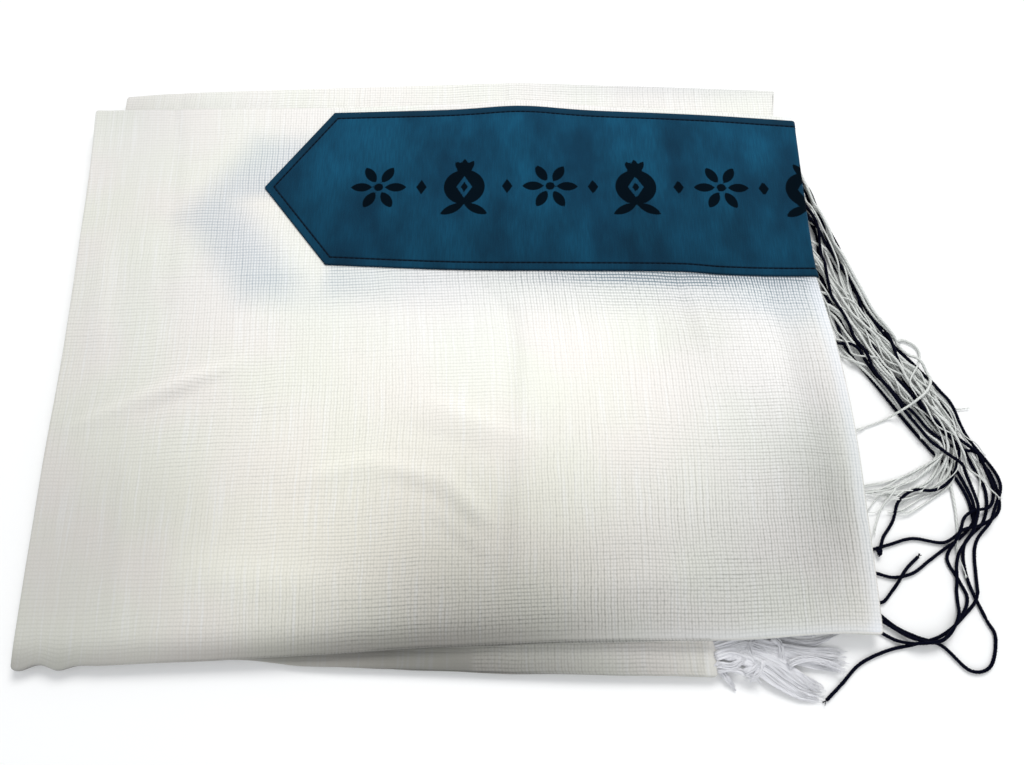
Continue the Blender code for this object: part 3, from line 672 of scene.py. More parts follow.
def band_beneath(x, y):
    """How strongly the hidden half of the band shows through: 0 to 1, soft at its outline."""
    tip, top, bottom = (HIDDEN_BAND[corner] for corner in ("tip", "top", "bottom"))
    inside = np.minimum(y - bottom[1], top[1] - y)
    inside = np.minimum(inside, -left_of(x, y, tip, top))
    inside = np.minimum(inside, left_of(x, y, tip, bottom))
    soft = np.clip(inside / HIDDEN_BAND["soft"] + 0.5, 0, 1)
    below_tip = ramp(y, BAND_TIP[1], -10) * ramp(x, BAND_BOTTOM[0]["x"] + 6, -10)
    beside = ramp(-inside_band(x, y), HIDDEN_BAND["clear"], HIDDEN_BAND["soft"])
    soft *= 1 - below_tip * (1 - beside)
    along = ramp(x, HIDDEN_BAND["fade_from"], HIDDEN_BAND["fade_over"])
    fade = 1 - (1 - HIDDEN_BAND["left_over"]) * along
    return soft * soft * (3 - 2 * soft) * fade


def wavered(nodes, weave, place, scale, reach):
    """The place in the weave, moved to and fro by a noise of the scale."""
    drift = nodes.noise(weave, scale, 1.0, output="Color")
    away = nodes.vector_math("SUBTRACT", drift, (0.5, 0.5, 0.5))
    return nodes.vector_math("MULTIPLY_ADD", away, reach, place)


def gap_between_threads(nodes, place, pitch, uneven):
    """1 in the gaps between threads a pitch apart, 0 on them; every second gap is the shallower one."""
    turn = nodes.math("DIVIDE", place, pitch * MM)
    away = nodes.math("ABSOLUTE", nodes.math("FRACT", turn) - 0.5)
    shallow = nodes.math("GREATER_THAN", nodes.math("FRACT", (turn + 0.5) * 0.5), 0.5)
    return nodes.smooth(away, 0.08, 0.5) * (1.0 - shallow * uneven)


def gauze_material():
    """Open cotton gauze: a grid of fine threads whose gaps show what is beneath: painted shade, and the
    hidden band's colour.
    """
    looks = {"Roughness": 0.92, "Sheen_Weight": 0.18, "Sheen_Roughness": 0.5, "Specular_IOR_Level": 0.25}
    nodes = Nodes("cotton gauze", **looks)
    weave = nodes.weave()
    moved = wavered(nodes, weave, weave, 28.0, (0.0022, 0.0022, 0.0))
    moved = wavered(nodes, weave, moved, 130.0, (0.0009, 0.0004, 0.0))
    along = nodes.add("SeparateXYZ", "X", ((0, moved),))
    across = nodes.add("SeparateXYZ", "Y", ((0, moved),))
    # Yarns of uneven thickness run the length and the width of the cloth.
    warp_slub = nodes.noise(moved, (700.0, 22.0, 1.0))
    weft_slub = nodes.noise(moved, (22.0, 600.0, 1.0))
    slub = (warp_slub + weft_slub) * 0.5
    warp_gap = gap_between_threads(nodes, along, WARP, 0.22)
    weft_gap = gap_between_threads(nodes, across, WEFT, 0.08)
    warp_gap = warp_gap * nodes.smooth(warp_slub, 0.3, 0.7, 1.14, 0.78)
    weft_gap = weft_gap * nodes.smooth(weft_slub, 0.3, 0.7, 0.90, 1.08)
    # Here the length's threads stand out, there the width's.
    uneven = nodes.smooth(nodes.noise(weave, 13.0, 1.0), 0.35, 0.65, 0.78, 1.22)
    leaning = nodes.smooth(along, 0.0, CUT_X * MM, 0.88, 1.07) * uneven
    warp_gap = warp_gap * leaning
    weft_gap = weft_gap * (1.9 - leaning)
    line = nodes.math("MAXIMUM", warp_gap, weft_gap)
    pore = warp_gap * weft_gap

    beneath = nodes.attribute("band_beneath")
    fibre = nodes.smooth(nodes.noise(weave, 620.0, 2.0, 0.7), 0.3, 0.7, 0.7, 1.3)
    shows = nodes.attribute("gaps_show") * (fibre * nodes.smooth(slub, 0.3, 0.7, 0.85, 1.12))
    shows = nodes.math("MULTIPLY_ADD", beneath, 0.30, shows)
    open_part = (line * 0.78 + pore * 0.38) * shows

    patch = nodes.noise(weave, 18.0, 1.0)
    cool = nodes.noise(weave, 5.0, 1.0, 0.4)
    cast = nodes.attribute("cool")
    yarn = nodes.layers(
        (0.896, 0.896, 0.812),
        (nodes.smooth(patch, 0.35, 0.65), (0.922, 0.880, 0.836)),
        (nodes.smooth(cool, 0.5, 0.75, 0.0, 0.5), (0.872, 0.884, 0.868)),
        (cast * 0.8, (0.865, 0.885, 0.925)),
        (cast * -0.8, (0.925, 0.885, 0.770)),
        (nodes.smooth(slub, 0.3, 0.7, 0.0, 0.10), (0.97, 0.97, 0.95)),
        (nodes.smooth(warp_slub, 0.5, 0.72, 0.0, 0.45), (0.99, 0.99, 0.985)),
        (beneath * 0.36, (0.62, 0.68, 0.75)),
    )
    # The colour in the gaps: painted shade of the layers beneath, blue-grey where the hidden band lies
    # there, darker where the cloth is tinted cool.
    gap = nodes.mix(beneath, (0.34, 0.34, 0.31), (0.22, 0.28, 0.34))
    gap = nodes.mix(nodes.smooth(cast, 0.4, 0.9), gap, (0.20, 0.26, 0.30))
    cloth = nodes.mix(open_part, yarn, gap)
    # The cloth's colour, times its painted light and shade.
    nodes.shade(Base_Color=nodes.mix(1.0, cloth, nodes.attribute("lightness"), "MULTIPLY"))
    nodes.bump(slub * 0.35 - line, 0.35, 0.00022)
    return nodes.material


def cloth_side(s, t):
    """The rings down the cloth's layered side, from its top to its flat underside."""
    rim = Rim(s, t)
    edge_x, edge_y = rim.plan(UPPER, NOSE_INSET)
    edge = top_height(edge_x, edge_y)
    share = slot_share(edge_x, edge_y)
    second = edge - TOP_LEAF - GROOVE_GAP - SLOT_HEIGHT * share
    rim.nose(UPPER, 0.0, edge, edge - TOP_LEAF)
    deep = GROOVE_DEPTH + (SLOT_DEPTH - GROOVE_DEPTH) * share
    rim.groove(UPPER, deep, edge - TOP_LEAF, GROOVE_GAP + SLOT_HEIGHT * share)
    rim.leaves(UPPER, UPPER_LEAVES, 1, second, rest_height(*rim.plan(UPPER)) + 0.2)
    rim.ledge()
    rim.leaves(LOWER, LOWER_LEAVES, 0, strip_height(*rim.plan(LOWER)), 0.0)
    under_x, under_y = rim.plan(LOWER, UNDERSIDE_INSET)
    rim.add(under_x, under_y, np.zeros_like(under_x), laid_flat=True)
    return rim


def cloth_shell():
    """Points, faces and weave coordinates of the closed cloth, and which points are on its top."""
    s, t = np.meshgrid(crowded(CLOTH_COLUMNS), crowded(CLOTH_ROWS))
    rim = cloth_side(rim_of(s), rim_of(t))
    grid = np.arange(s.size).reshape(s.shape)
    faces = quads(grid).tolist()
    above = rim_of(grid)
    s = s.ravel()
    t = t.ravel()
    x, y = packet_points(UPPER, s, t, NOSE_INSET)
    points = [np.column_stack((x, y, top_height(x, y)))] + rim.rings
    uv = [np.column_stack((s * CUT_X, t * CUT_Y))] + rim.weaves
    for ring in range(len(rim.rings)):
        below = s.size + ring * rim.s.size + np.arange(rim.s.size)
        faces += np.column_stack((above, below, np.roll(below, -1), np.roll(above, -1))).tolist()
        above = below
    faces.append(above.tolist())
    points = np.concatenate(points)
    return points, faces, np.concatenate(uv), np.arange(len(points)) < s.size


def cloth_values(points, on_top):
    """What the gauze's material reads at each point of the cloth."""
    x, y, z = points[:, 0], points[:, 1], points[:, 2]
    hem = ramp(x, side_at(LOWER, "right", y) - LOWER_HEM, 1.5) * (~on_top) * (y < LOWER_HEM_BACK)
    selvedge = ramp(x, side_at(UPPER, "right", y) - SELVEDGE, 6) * on_top
    # The strip in front gets painted light, as of daylight through the gauze over it, and painted shade;
    # its left part is a plain hem, painted darker still.
    ahead = side_at(UPPER, "front", x) - y
    strip = (~on_top) * (ahead > -1.5) * (z < rest_height(x, y) + 0.8)
    lit = LIT_THROUGH * strip * np.exp(-np.clip(ahead, 0, None) / 5) * ramp(x, -60, 60)
    plain = strip * ramp(x, STRIP_HEM, -1.5)
    # Painted shade, and a little painted light at the right, where the top rolls down over the front fold;
    # less of it on the strip.
    roll = np.exp(-((from_front(x, y) / 9) ** 2)) * (1 - 0.45 * strip)
    roll_shade = 1 - roll * table_curve(FRONT_ROLL, x, "x", "shade")
    turned = np.exp(-((from_front(x, y) / 5) ** 2)) * on_top
    # Painted shade down in the creases of the top and painted light along their ridges.
    crease_shade = CREASE_SHADE_PER_MM * crease_height(FINE_CREASES, x, y) * on_top
    gaps = patched(GAPS_SHOW, "gaps", x, y)
    for part, closed in ((hem, 0.7), (selvedge, 0.45), (turned, 0.55), (plain, 0.9), (strip, 0.35)):
        gaps = gaps * (1 - closed * part)
    # Painted light and shade: from the patches, on the strip and its plain hem, through the gauze over the
    # strip, and along the creases.
    light = patched(1.0, "light", x, y) * (1 + 0.05 * hem)
    light = light + 0.05 * selvedge + lit - 0.09 * plain - 0.07 * strip + crease_shade
    cool = patched(0.0, "cool", x, y) + 0.55 * selvedge + 0.6 * turned * ramp(x, 40, 60) + 0.15 * hem
    return {
        "band_beneath": band_beneath(x, y) * on_top,
        "gaps_show": gaps,
        "lightness": light * roll_shade,
        "cool": cool,
    }


def make_cloth():
    points, faces, uv, on_top = cloth_shell()
    cloth = make_mesh("gauze_cloth", points, faces, uv, cloth_values(points, on_top))
    face_outwards(cloth)
    dress(cloth, gauze_material(), "gauze", "shawl_cloth")


# ---------------------------------------------------------------- the collar band
BAND_TOP = table(
    "x y",
    (-105, 145.6), (0, 147.4), (80, 145.4), (164, 141.0),
)
BAND_BOTTOM = table(
    "x y",
    (-102, 43.2), (-35, 40.0), (24, 39.3), (90, 38.8), (112, 37.2), (134, 36.9), (164, 37.8),
)
BAND_TIP = (-140.5, 93.3)
BAND_WIDTH = BAND_TOP[1]["y"] - BAND_BOTTOM[1]["y"]
BAND_LIFT = 0.25  # over the cloth
BAND_EDGE = 0.15  # thickness at the very edge
BAND_THICKNESS = 0.95
BAND_FOLD = 1.25  # inner radius where it goes round the top leaf
BAND_FLAT_END = 158.0  # along the band, where it nears the fold and its columns lie closer
BAND_END = 178.0  # along the band, where it is tucked in under the top leaf
HEM_STITCH = 4.6  # from the edge
HEM_STEPS = (0.0, 0.12, 0.35, 0.8, 1.6, 2.8, 3.9, 4.3, 4.6, 4.9, 5.3, 6.2)
BAND_ROWS = 72
BAND_COLUMNS = 220
FOLD_STEP = 0.45  # between columns round the fold
STITCH_PITCH = 2.9
STITCH_LENGTH = 2.6
STITCH_RADIUS = 0.27
STITCH_SHAPE = (-0.5, -0.42, -0.2, 0.0, 0.2, 0.42, 0.5)
HEM_POINTS = 400
HEM_CORNER = 2.2  # how far the stitched line's corners lie behind the band's
MOTIF_PITCH = 48.0
FIRST_MOTIF = -76.0
MOTIFS = 6
MOTIF_LINE = (BAND_TIP[1] + 92.0) / 2  # between the tip and the middle of the band
NO_PRINT = 50.0  # far from any motif


def band_plan(run, part):
    """A plan point of the band: run is its distance behind the pointed end, part goes from edge to edge."""
    side = 2 * part - 1
    shoulder = np.where(side > 0, BAND_TOP[0]["x"], BAND_BOTTOM[0]["x"]) - BAND_TIP[0]
    pointed = np.clip(1 - (run - 10) / 70, 0, 1)
    x = BAND_TIP[0] + run + shoulder * np.abs(side) * pointed
    low = table_curve(BAND_BOTTOM, x)
    high = table_curve(BAND_TOP, x)
    return x, BAND_TIP[1] + side * np.where(side > 0, high - BAND_TIP[1], BAND_TIP[1] - low)


def inside_band(x, y):
    """Distance of a plan point inside the band's outline; it is below 0 outside."""
    inside = np.minimum(table_curve(BAND_TOP, x) - y, y - table_curve(BAND_BOTTOM, x))
    for row, side in ((BAND_TOP[0], -1), (BAND_BOTTOM[0], 1)):
        inside = np.minimum(inside, side * left_of(x, y, BAND_TIP, (row["x"], row["y"])))
    return inside


def band_wall(inside):
    """Thickness at a distance inside the outline: a rounded edge, a doubled hem and its stitches' dip."""
    rounded = np.sqrt(1 - (1 - ramp(inside, 0, 0.8)) ** 2)
    dip = 0.34 * np.exp(-(((inside - HEM_STITCH) / 0.45) ** 2))
    return BAND_EDGE + (BAND_THICKNESS - BAND_EDGE) * rounded - dip - 0.16 * ramp(inside, 4.9, 1.2)


def band_place(along, y, raised):
    """A point of the band: on the cloth, then round the top leaf's nose and back beneath it."""
    bend = side_at(UPPER, "right", y) - TOP_LEAF / 2
    over = along - bend
    turn = np.clip(over / BAND_FOLD, 0, math.pi)
    tucked = np.maximum(over - math.pi * BAND_FOLD, 0)
    middle = form_height(bend, y) - TOP_LEAF / 2
    radius = BAND_FOLD + raised
    flat = over <= 0
    x = np.where(flat, along, bend + radius * np.sin(turn) - tucked)
    z = np.where(flat, form_height(along, y) + BAND_LIFT + raised, middle + radius * np.cos(turn))
    return np.column_stack((x, y, z))


def disc(x, y, radius):
    return np.hypot(x, y) - radius


def petal(x, y, length, half_width, degrees):
    """Signed distance to a pointed petal that starts at the origin."""
    turn = math.radians(degrees)
    along = x * math.cos(turn) + y * math.sin(turn) - length / 2
    across = -x * math.sin(turn) + y * math.cos(turn)
    radius = ((length / 2) ** 2 + half_width**2) / (2 * half_width)
    return np.hypot(along, np.abs(across) + radius - half_width) - radius


def lozenge(x, y, half_width, half_height):
    share = np.abs(x) / half_width + np.abs(y) / half_height - 1
    return share * half_width * half_height / math.hypot(half_width, half_height)


def pomegranate(x, y):
    shape = disc(x, y, 11.5)
    for degrees in (58, 90, 122):
        shape = np.minimum(shape, petal(x, y - 9.0, 10.0, 2.1, degrees))
    for degrees in (-28, 208):
        shape = np.minimum(shape, petal(x, y + 11.0, 15.0, 2.7, degrees))
    shape = np.maximum(shape, -lozenge(x, y, 4.4, 7.2))
    return np.minimum(shape, lozenge(x, y, 2.0, 3.6))


def rosette(x, y):
    shape = disc(x, y, 2.6)
    for degrees in range(0, 360, 60):
        turn = math.radians(degrees)
        leaf = petal(x - 3.6 * math.cos(turn), y - 3.6 * math.sin(turn), 12.0, 2.9, degrees)
        shape = np.minimum(shape, leaf)
    return shape


def print_distance(along, y):
    """Signed distance to the printed motifs: pomegranates and rosettes in turn, lozenges between them."""
    nearest = np.full_like(along, NO_PRINT)
    for index in range(MOTIFS):
        x = along - (FIRST_MOTIF + MOTIF_PITCH * index)
        motif = (rosette, pomegranate)[index % 2]
        nearest = np.minimum(nearest, motif(x, y - MOTIF_LINE))
        nearest = np.minimum(nearest, lozenge(x - MOTIF_PITCH / 2, y - MOTIF_LINE, 3.0, 5.0))
    return nearest


def band_lightness(along, y):
    """Painted light and shade: the band is lighter along its upper side than along its lower one, with the
    nap's random tone.
    """
    upward = ramp(y, BAND_BOTTOM[1]["y"], BAND_WIDTH)
    return np.clip(0.72 + 0.42 * upward + with_waves(0, along, y, NAP_WAVES), 0.4, 1.4)


def suede_material():
    """Deep teal brushed fabric, its hem stitched down and near-black motifs printed on it; painted shade at
    its edges.
    """
    nodes = Nodes("brushed band", Roughness=0.88, Sheen_Roughness=0.45, Sheen_Tint=(0.45, 0.72, 0.95, 1))
    weave = nodes.weave()
    inside = nodes.attribute("inside")
    nap = nodes.noise(weave, (30.0, 14.0, 1.0), 3.0, 0.6)
    grain = nodes.noise(weave, 2600.0, 2.0, 0.7)
    streak = nodes.noise(weave, (1500.0, 110.0, 1.0))
    across = nodes.add("SeparateXYZ", "Y", ((0, weave),))
    # Painted shade on the upper hem, which turns down away from the light.
    shaded_upper_hem = nodes.smooth(inside, 4.2, 4.8, 1.0, 0.0) * nodes.smooth(across, 0.10, 0.12)
    seam = nodes.math("ABSOLUTE", inside - HEM_STITCH)
    dye_and_shade = nodes.layers(
        (0.0008, 0.019, 0.045),
        (nodes.smooth(nap, 0.3, 0.7), (0.0040, 0.068, 0.136)),
        (nodes.smooth(grain, 0.35, 0.75, 0.0, 0.5), (0.008, 0.084, 0.158)),
        (nodes.smooth(streak, 0.35, 0.65, 0.0, 0.32), (0.0020, 0.024, 0.052)),
        (shaded_upper_hem * 0.8, (0.003, 0.022, 0.044)),
        # Painted shade along the very edge, where it turns down; along the stitched groove, painted shade
        # and the dark thread's colour.
        (nodes.smooth(inside, 0.1, 1.1, 0.72, 0.0), (0.004, 0.022, 0.045)),
        (nodes.smooth(seam, 0.25, 0.8, 0.8, 0.0), (0.002, 0.010, 0.024)),
    )
    # Times the band's lightness, which holds painted light and shade.
    dye_and_shade = nodes.mix(1.0, dye_and_shade, nodes.attribute("lightness"), "MULTIPLY")
    ragged = nodes.attribute("print") + (grain - 0.5) * 0.7
    ink = nodes.smooth(ragged, -0.25, 0.2, 0.96, 0.0)
    nodes.shade(
        Base_Color=nodes.mix(ink, dye_and_shade, (0.0008, 0.0026, 0.0050)),
        Sheen_Weight=nodes.math("MULTIPLY_ADD", ink, -0.12, 0.12),
        Specular_IOR_Level=nodes.math("MULTIPLY_ADD", ink, -0.06, 0.08),
    )
    nodes.bump(grain + streak * 0.6, 0.25, 0.0002)
    return nodes.material


def closed_sheet(columns, rows):
    """Faces of a thin closed sheet whose two sides are each a grid of columns by rows."""
    grid = np.arange(columns * rows).reshape(columns, rows)
    other = grid.size
    upper = quads(grid)[:, (0, 3, 2, 1)]
    rim = rim_of(grid.T)
    after = np.roll(rim, -1)
    walls = np.column_stack((after, rim, rim + other, after + other))
    return np.concatenate((upper, upper[:, ::-1] + other, walls)).tolist()


def make_band():
    near = np.array(HEM_STEPS) / BAND_WIDTH
    parts = np.concatenate((near, np.linspace(near[-1], 1 - near[-1], BAND_ROWS)[1:-1], 1 - near[::-1]))
    edge = math.hypot(BAND_TOP[0]["x"] - BAND_TIP[0], BAND_WIDTH / 2) / (BAND_WIDTH / 2)
    flat_end = BAND_FLAT_END - BAND_TIP[0]
    end = BAND_END - BAND_TIP[0]
    even = np.linspace(HEM_STEPS[-1] * edge, flat_end, BAND_COLUMNS)[1:]
    close = np.arange(flat_end + 0.6, end - 6, FOLD_STEP)
    runs = np.concatenate((np.array(HEM_STEPS) * edge, even, close, [end]))
    run, part = (grid.ravel() for grid in np.meshgrid(runs, parts, indexing="ij"))
    along, y = band_plan(run, part)
    inside = inside_band(along, y)
    lift = with_waves(0, along, y, BAND_WAVES) * np.clip(inside, 0, 1)
    outer = band_place(along, y, band_wall(inside) + lift)
    inner = band_place(along, y, 0 * y)
    values = {
        "inside": np.tile(inside, 2),
        "print": np.concatenate((print_distance(along, y), np.full_like(y, NO_PRINT))),
        "lightness": np.tile(band_lightness(along, y), 2),
    }
    faces = closed_sheet(len(runs), len(parts))
    uv = np.tile(np.column_stack((along, y)), (2, 1))
    band = make_mesh("collar_band", np.concatenate((outer, inner)), faces, uv, values)
    face_outwards(band)
    dress(band, suede_material(), "band", "atarah")
    stitching = make_stitching()


def lengths_along(path):
    """How far along the path each of its points is."""
    return np.concatenate(([0], np.cumsum(np.linalg.norm(np.diff(path, axis=0), axis=1))))


class Tubes:
    """Collects round strands into one mesh."""

    def __init__(self):
        self.points = []
        self.faces = []
        self.uv = []
        self.grooves = []
        self.count = 0

    def add(self, path, radii, sides, lobes=0, relief=0.0, pitch=6.0):
        """A closed tube along the path. With lobes it has that many plies, twisted once in each pitch."""
        path = np.asarray(path, float)
        ahead = np.gradient(path, axis=0)
        ahead /= np.maximum(np.linalg.norm(ahead, axis=1), 1e-9)[:, None]
        side = np.column_stack((ahead[:, 1], -ahead[:, 0], 0 * ahead[:, 0]))
        steep = np.linalg.norm(side, axis=1) < 1e-3
        side[steep] = (1, 0, 0)
        side /= np.linalg.norm(side, axis=1)[:, None]
        up = np.cross(side, ahead)
        length = lengths_along(path)
        angle = np.arange(sides) * 2 * math.pi / sides
        turn = angle[None, :] + (2 * math.pi * length / pitch)[:, None] * (lobes > 0)
        radius = np.asarray(radii)[:, None] * (1 + relief * np.cos(lobes * angle))[None, :]
        ring = (
            path[:, None, :]
            + (radius * np.cos(turn))[..., None] * side[:, None, :]
            + (radius * np.sin(turn))[..., None] * up[:, None, :]
        )
        rings = len(path)
        index = self.count + np.arange(rings * sides).reshape(rings, sides)
        self.points.append(ring.reshape(-1, 3))
        self.faces += quads(np.column_stack((index, index[:, 0]))).tolist()
        self.faces += [index[0, ::-1].tolist(), index[-1].tolist()]
        around = np.abs(angle / math.pi - 1)
        self.uv.append(np.column_stack((np.repeat(length, sides), np.tile(around, rings))))
        self.grooves.append(np.tile(0.5 - 0.5 * np.cos(lobes * angle), rings))
        self.count += rings * sides

    def piece(self, name):
        """The strands as one object; groove is 1 in the furrows between a strand's plies."""
        values = {"groove": np.concatenate(self.grooves)}
        return make_mesh(name, np.concatenate(self.points), self.faces, np.concatenate(self.uv), values)


def hem_line():
    """Points along the band's stitched hem, from its lower right end round the tip to its upper one."""
    end = BAND_END - 8
    low = np.linspace(end, BAND_BOTTOM[0]["x"] + HEM_CORNER, HEM_POINTS)
    high = np.linspace(BAND_TOP[0]["x"] + HEM_CORNER, end, HEM_POINTS)
    bottom = np.column_stack((low, table_curve(BAND_BOTTOM, low) + HEM_STITCH))
    top = np.column_stack((high, table_curve(BAND_TOP, high) - HEM_STITCH))
    return np.vstack((bottom, [(BAND_TIP[0] + HEM_STITCH * 1.21, BAND_TIP[1])], top))


def make_stitching():
    line = hem_line()
    length = lengths_along(line)
    stitches = Tubes()
    shape = np.array(STITCH_SHAPE)
    for middle in np.arange(STITCH_PITCH, length[-1] - STITCH_PITCH, STITCH_PITCH):
        at = middle + shape * STITCH_LENGTH
        x = np.interp(at, length, line[:, 0])
        y = np.interp(at, length, line[:, 1])
        arch = band_wall(np.full(len(at), HEM_STITCH)) + 0.30 - 1.2 * shape**2
        stitches.add(band_place(x, y, arch), STITCH_RADIUS * np.sqrt(1.06 - 4 * shape**2), 6)
    piece = stitches.piece("band_stitching")
    tones = ((0.0004, 0.0020, 0.0060), (0.0012, 0.0050, 0.0120))
    looks = {"Roughness": 0.85, "Specular_IOR_Level": 0.1}
    dress(piece, two_tones("dark sewing thread", *tones, (3000.0, 3000.0, 1.0), 1.0, **looks), "band")
    return piece


# ---------------------------------------------------------------- tassel strings
STRAND_STEP = 1.3  # length of a strand's sections
WHITE_RADIUS = 0.80
BLACK_RADIUS = 0.88
THIN_RADIUS = 0.52
WHITE_TWIST = {"sides": 9, "lobes": 3, "relief": 0.09, "pitch": 7.5}
BLACK_TWIST = {"sides": 9, "lobes": 3, "relief": 0.07, "pitch": 5.2}
WHITE_FRAY = {"count": 4, "length": 2.6, "spread": 0.9, "radius": 0.2}
BLACK_FRAY = {"count": 8, "length": 2.3, "spread": 1.0, "radius": 0.2}
WISP_FRAY = {"count": 2, "length": 5.0, "spread": 1.2, "radius": 0.15}
WISP_SEED = 40  # the first seed of the wisps' own fraying
KNOT = {"size": 1.2, "radius": 0.55}
WAY_LOOSE = 44.0  # length over which a white string thins towards its end
SQUEEZE = 0.74  # how high a string rides over another, as a share of the two radii together
UNDER_CLOTH = 1.1  # clearance of a string's middle below the upper packet
CLOTH_FRONT = -148  # in front of this y nothing lies over the strings
# The banks between which the strings run out from under the cloth, from the tassels' heads forward.
BUNDLE = table(
    "right_x right_y left_x left_y",
    (155.2, 124.0, 137.6, 31.0), (163.6, 119.5, 147.0, 22.0), (168.5, 104.0, 159.0, 13.0),
    (180.4, 68.8, 170.3, 5.0), (190.5, 34.0, 180.0, -5.5), (202.5, 5.0, 190.5, -16.0),
    (215.1, -10.5, 200.5, -31.5), (228.2, -33.3, 208.7, -45.6), (231.5, -47.0, 216.5, -58.0),
)

# Each string: its lane across the bundle (-1 left bank, 1 right bank), the last of the bundle's rows that
# it passes, and the way its loose end takes from there.
WHITE_STRINGS = table(
    "name lane rows tail",
    ("sweep 1", -1.0, 8, ((207, -65), (193, -71), (177, -74), (170, -75))),
    ("sweep 2", -0.9, 8, ((209, -68), (195, -73.5), (184, -76), (176, -77))),
    ("sweep 3", -0.76, 8, ((211, -71), (197, -77), (185, -79), (176, -88))),
    ("down 1", -0.66, 8, ((205, -70), (192, -76), (184, -86), (179, -97))),
    ("long 1", -0.52, 8, ((221, -74), (221, -86), (220, -96), (217.5, -107), (219, -118))),
    ("short 1", -0.4, 6, ((207, -40), (209, -48))),
    ("sweep 4", -0.3, 8, ((213, -71), (201, -77), (192, -79), (181, -78))),
    ("down 2", -0.18, 8, ((214, -75), (204, -81), (194, -87), (189, -88))),
    ("short 2", -0.06, 5, ((203, -24), (208, -36))),
    ("hook", 0.06, 8, ((222, -71), (210, -81), (197, -88), (191, -86), (199, -81))),
    ("right 1", 0.2, 8, ((229.5, -63), (236, -71), (242.5, -80))),
    ("sweep 5", 0.32, 8, ((220, -68), (208, -77), (198, -80), (187, -79))),
    ("short 3", 0.44, 6, ((221, -33), (222, -44))),
    ("long 2", 0.56, 8, ((232, -56), (236, -69), (233, -84))),
    ("right 2", 0.68, 7, ((228, -46), (234, -58), (239, -68))),
    ("side end", 0.8, 6, ((225, -24), (230.5, -32), (236.5, -32.6))),
    ("loop", 0.9, 4, ((204, 8), (211, 7), (217, 3), (218, -3), (213, -11), (207, -20), (209, -28))),
    ("swoop", 1.0, 4, ((206, 4), (215, -5), (220, -15), (217, -23), (209, -30), (201, -35), (190, -40),
        (178, -44), (171, -45))),
)
# The black strings, mostly under the white ones: one by its lane, the others each by its own way.
BLACK_STRINGS = table(
    "name lane rows tail",
    ("wide loop", 0.8, 8, (
        (233.5, -62), (238, -77), (234, -92), (222, -104), (220, -120), (225, -139), (228, -148),
        (223, -161), (213, -163), (202, -152), (191, -148), (181, -143), (170, -133),
    )),
) + table(
    "name way",
    ("left bank", ((146, 48), (156, 68), (165, 74), (168, 63), (171, 49), (173.5, 38), (176, 20),
        (179.5, 2), (187, -11.3), (193, -21), (200, -33), (206, -43), (214, -55), (222, -66), (228, -80),
        (229, -92))),
    ("knotted", ((160, 112), (170, 100), (175, 80), (178, 60), (181.5, 52), (184.5, 44.2), (188.3, 35.4),
        (190.5, 20), (192, 5), (197, -10), (206, -24), (216, -40), (226, -54), (225, -62), (220, -72),
        (211, -77), (201, -77), (192, -83), (188, -93), (182, -101), (179, -108))),
    ("crossing", ((157, 103), (166, 92), (170.4, 82), (172.4, 70), (172, 56), (171.4, 44), (172.2, 34.6),
        (174.4, 27.8), (177.5, 20), (180.6, 12.2), (185, 5), (192.4, -1.4), (199, -10), (207, -25),
        (214, -39), (220, -54), (227, -70), (230, -82), (228, -93), (220, -101), (212, -106),
        (203, -112), (194, -118), (184, -120), (174, -118), (170, -125), (176, -132), (183, -126),
        (190, -117), (198, -110))),
    ("inner run", ((155, 105), (163, 98), (168, 87.4), (170.9, 78.6), (172, 68), (172.4, 56),
        (172.6, 44), (174, 34), (176.2, 27.4), (179.3, 19.6), (182.4, 11.8), (185.4, 3.8), (187.2, -3),
        (189.6, -10.5), (194.6, -20.5), (201.8, -33), (208.6, -44.5), (218, -57), (229, -68), (231, -84),
        (226, -98), (217, -110), (214, -124), (212, -137), (204, -148), (193, -151), (182, -150),
        (171, -144))),
    ("under and out", ((148, 30), (160, 16), (172.4, 5), (180.7, 3.2), (184.8, -0.5), (188.0, -8.5),
        (194, -18), (201, -28.5), (209, -39), (219, -50), (228, -56), (236, -58), (243, -70), (243, -86),
        (233, -94), (222, -97), (212, -103), (197, -101), (185, -104), (171, -108))),
    ("outer run", ((158, 114), (170, 102), (180, 72), (187, 50), (191.8, 34), (196, 25), (200.5, 13.4),
        (202, 3.3), (203.5, -6.7), (205.7, -15.9), (209.1, -25.6), (212, -34), (221, -45), (235, -58),
        (242, -74), (238, -85), (226, -89), (217, -102), (212, -111), (216, -122), (218, -131),
        (210, -142), (201, -150), (189, -149), (171, -138))),
    ("front run", ((150, 108), (161, 96), (174, 70), (186, 42), (199, 12), (212, -5), (220.3, -16),
        (224.4, -22.8), (228.3, -28.4), (231, -36), (234, -47), (239, -57), (246, -72), (238, -90),
        (227, -105), (223, -128), (214, -139), (203, -147), (190, -151), (176, -154), (162, -160),
        (152, -169), (144, -176))),
)
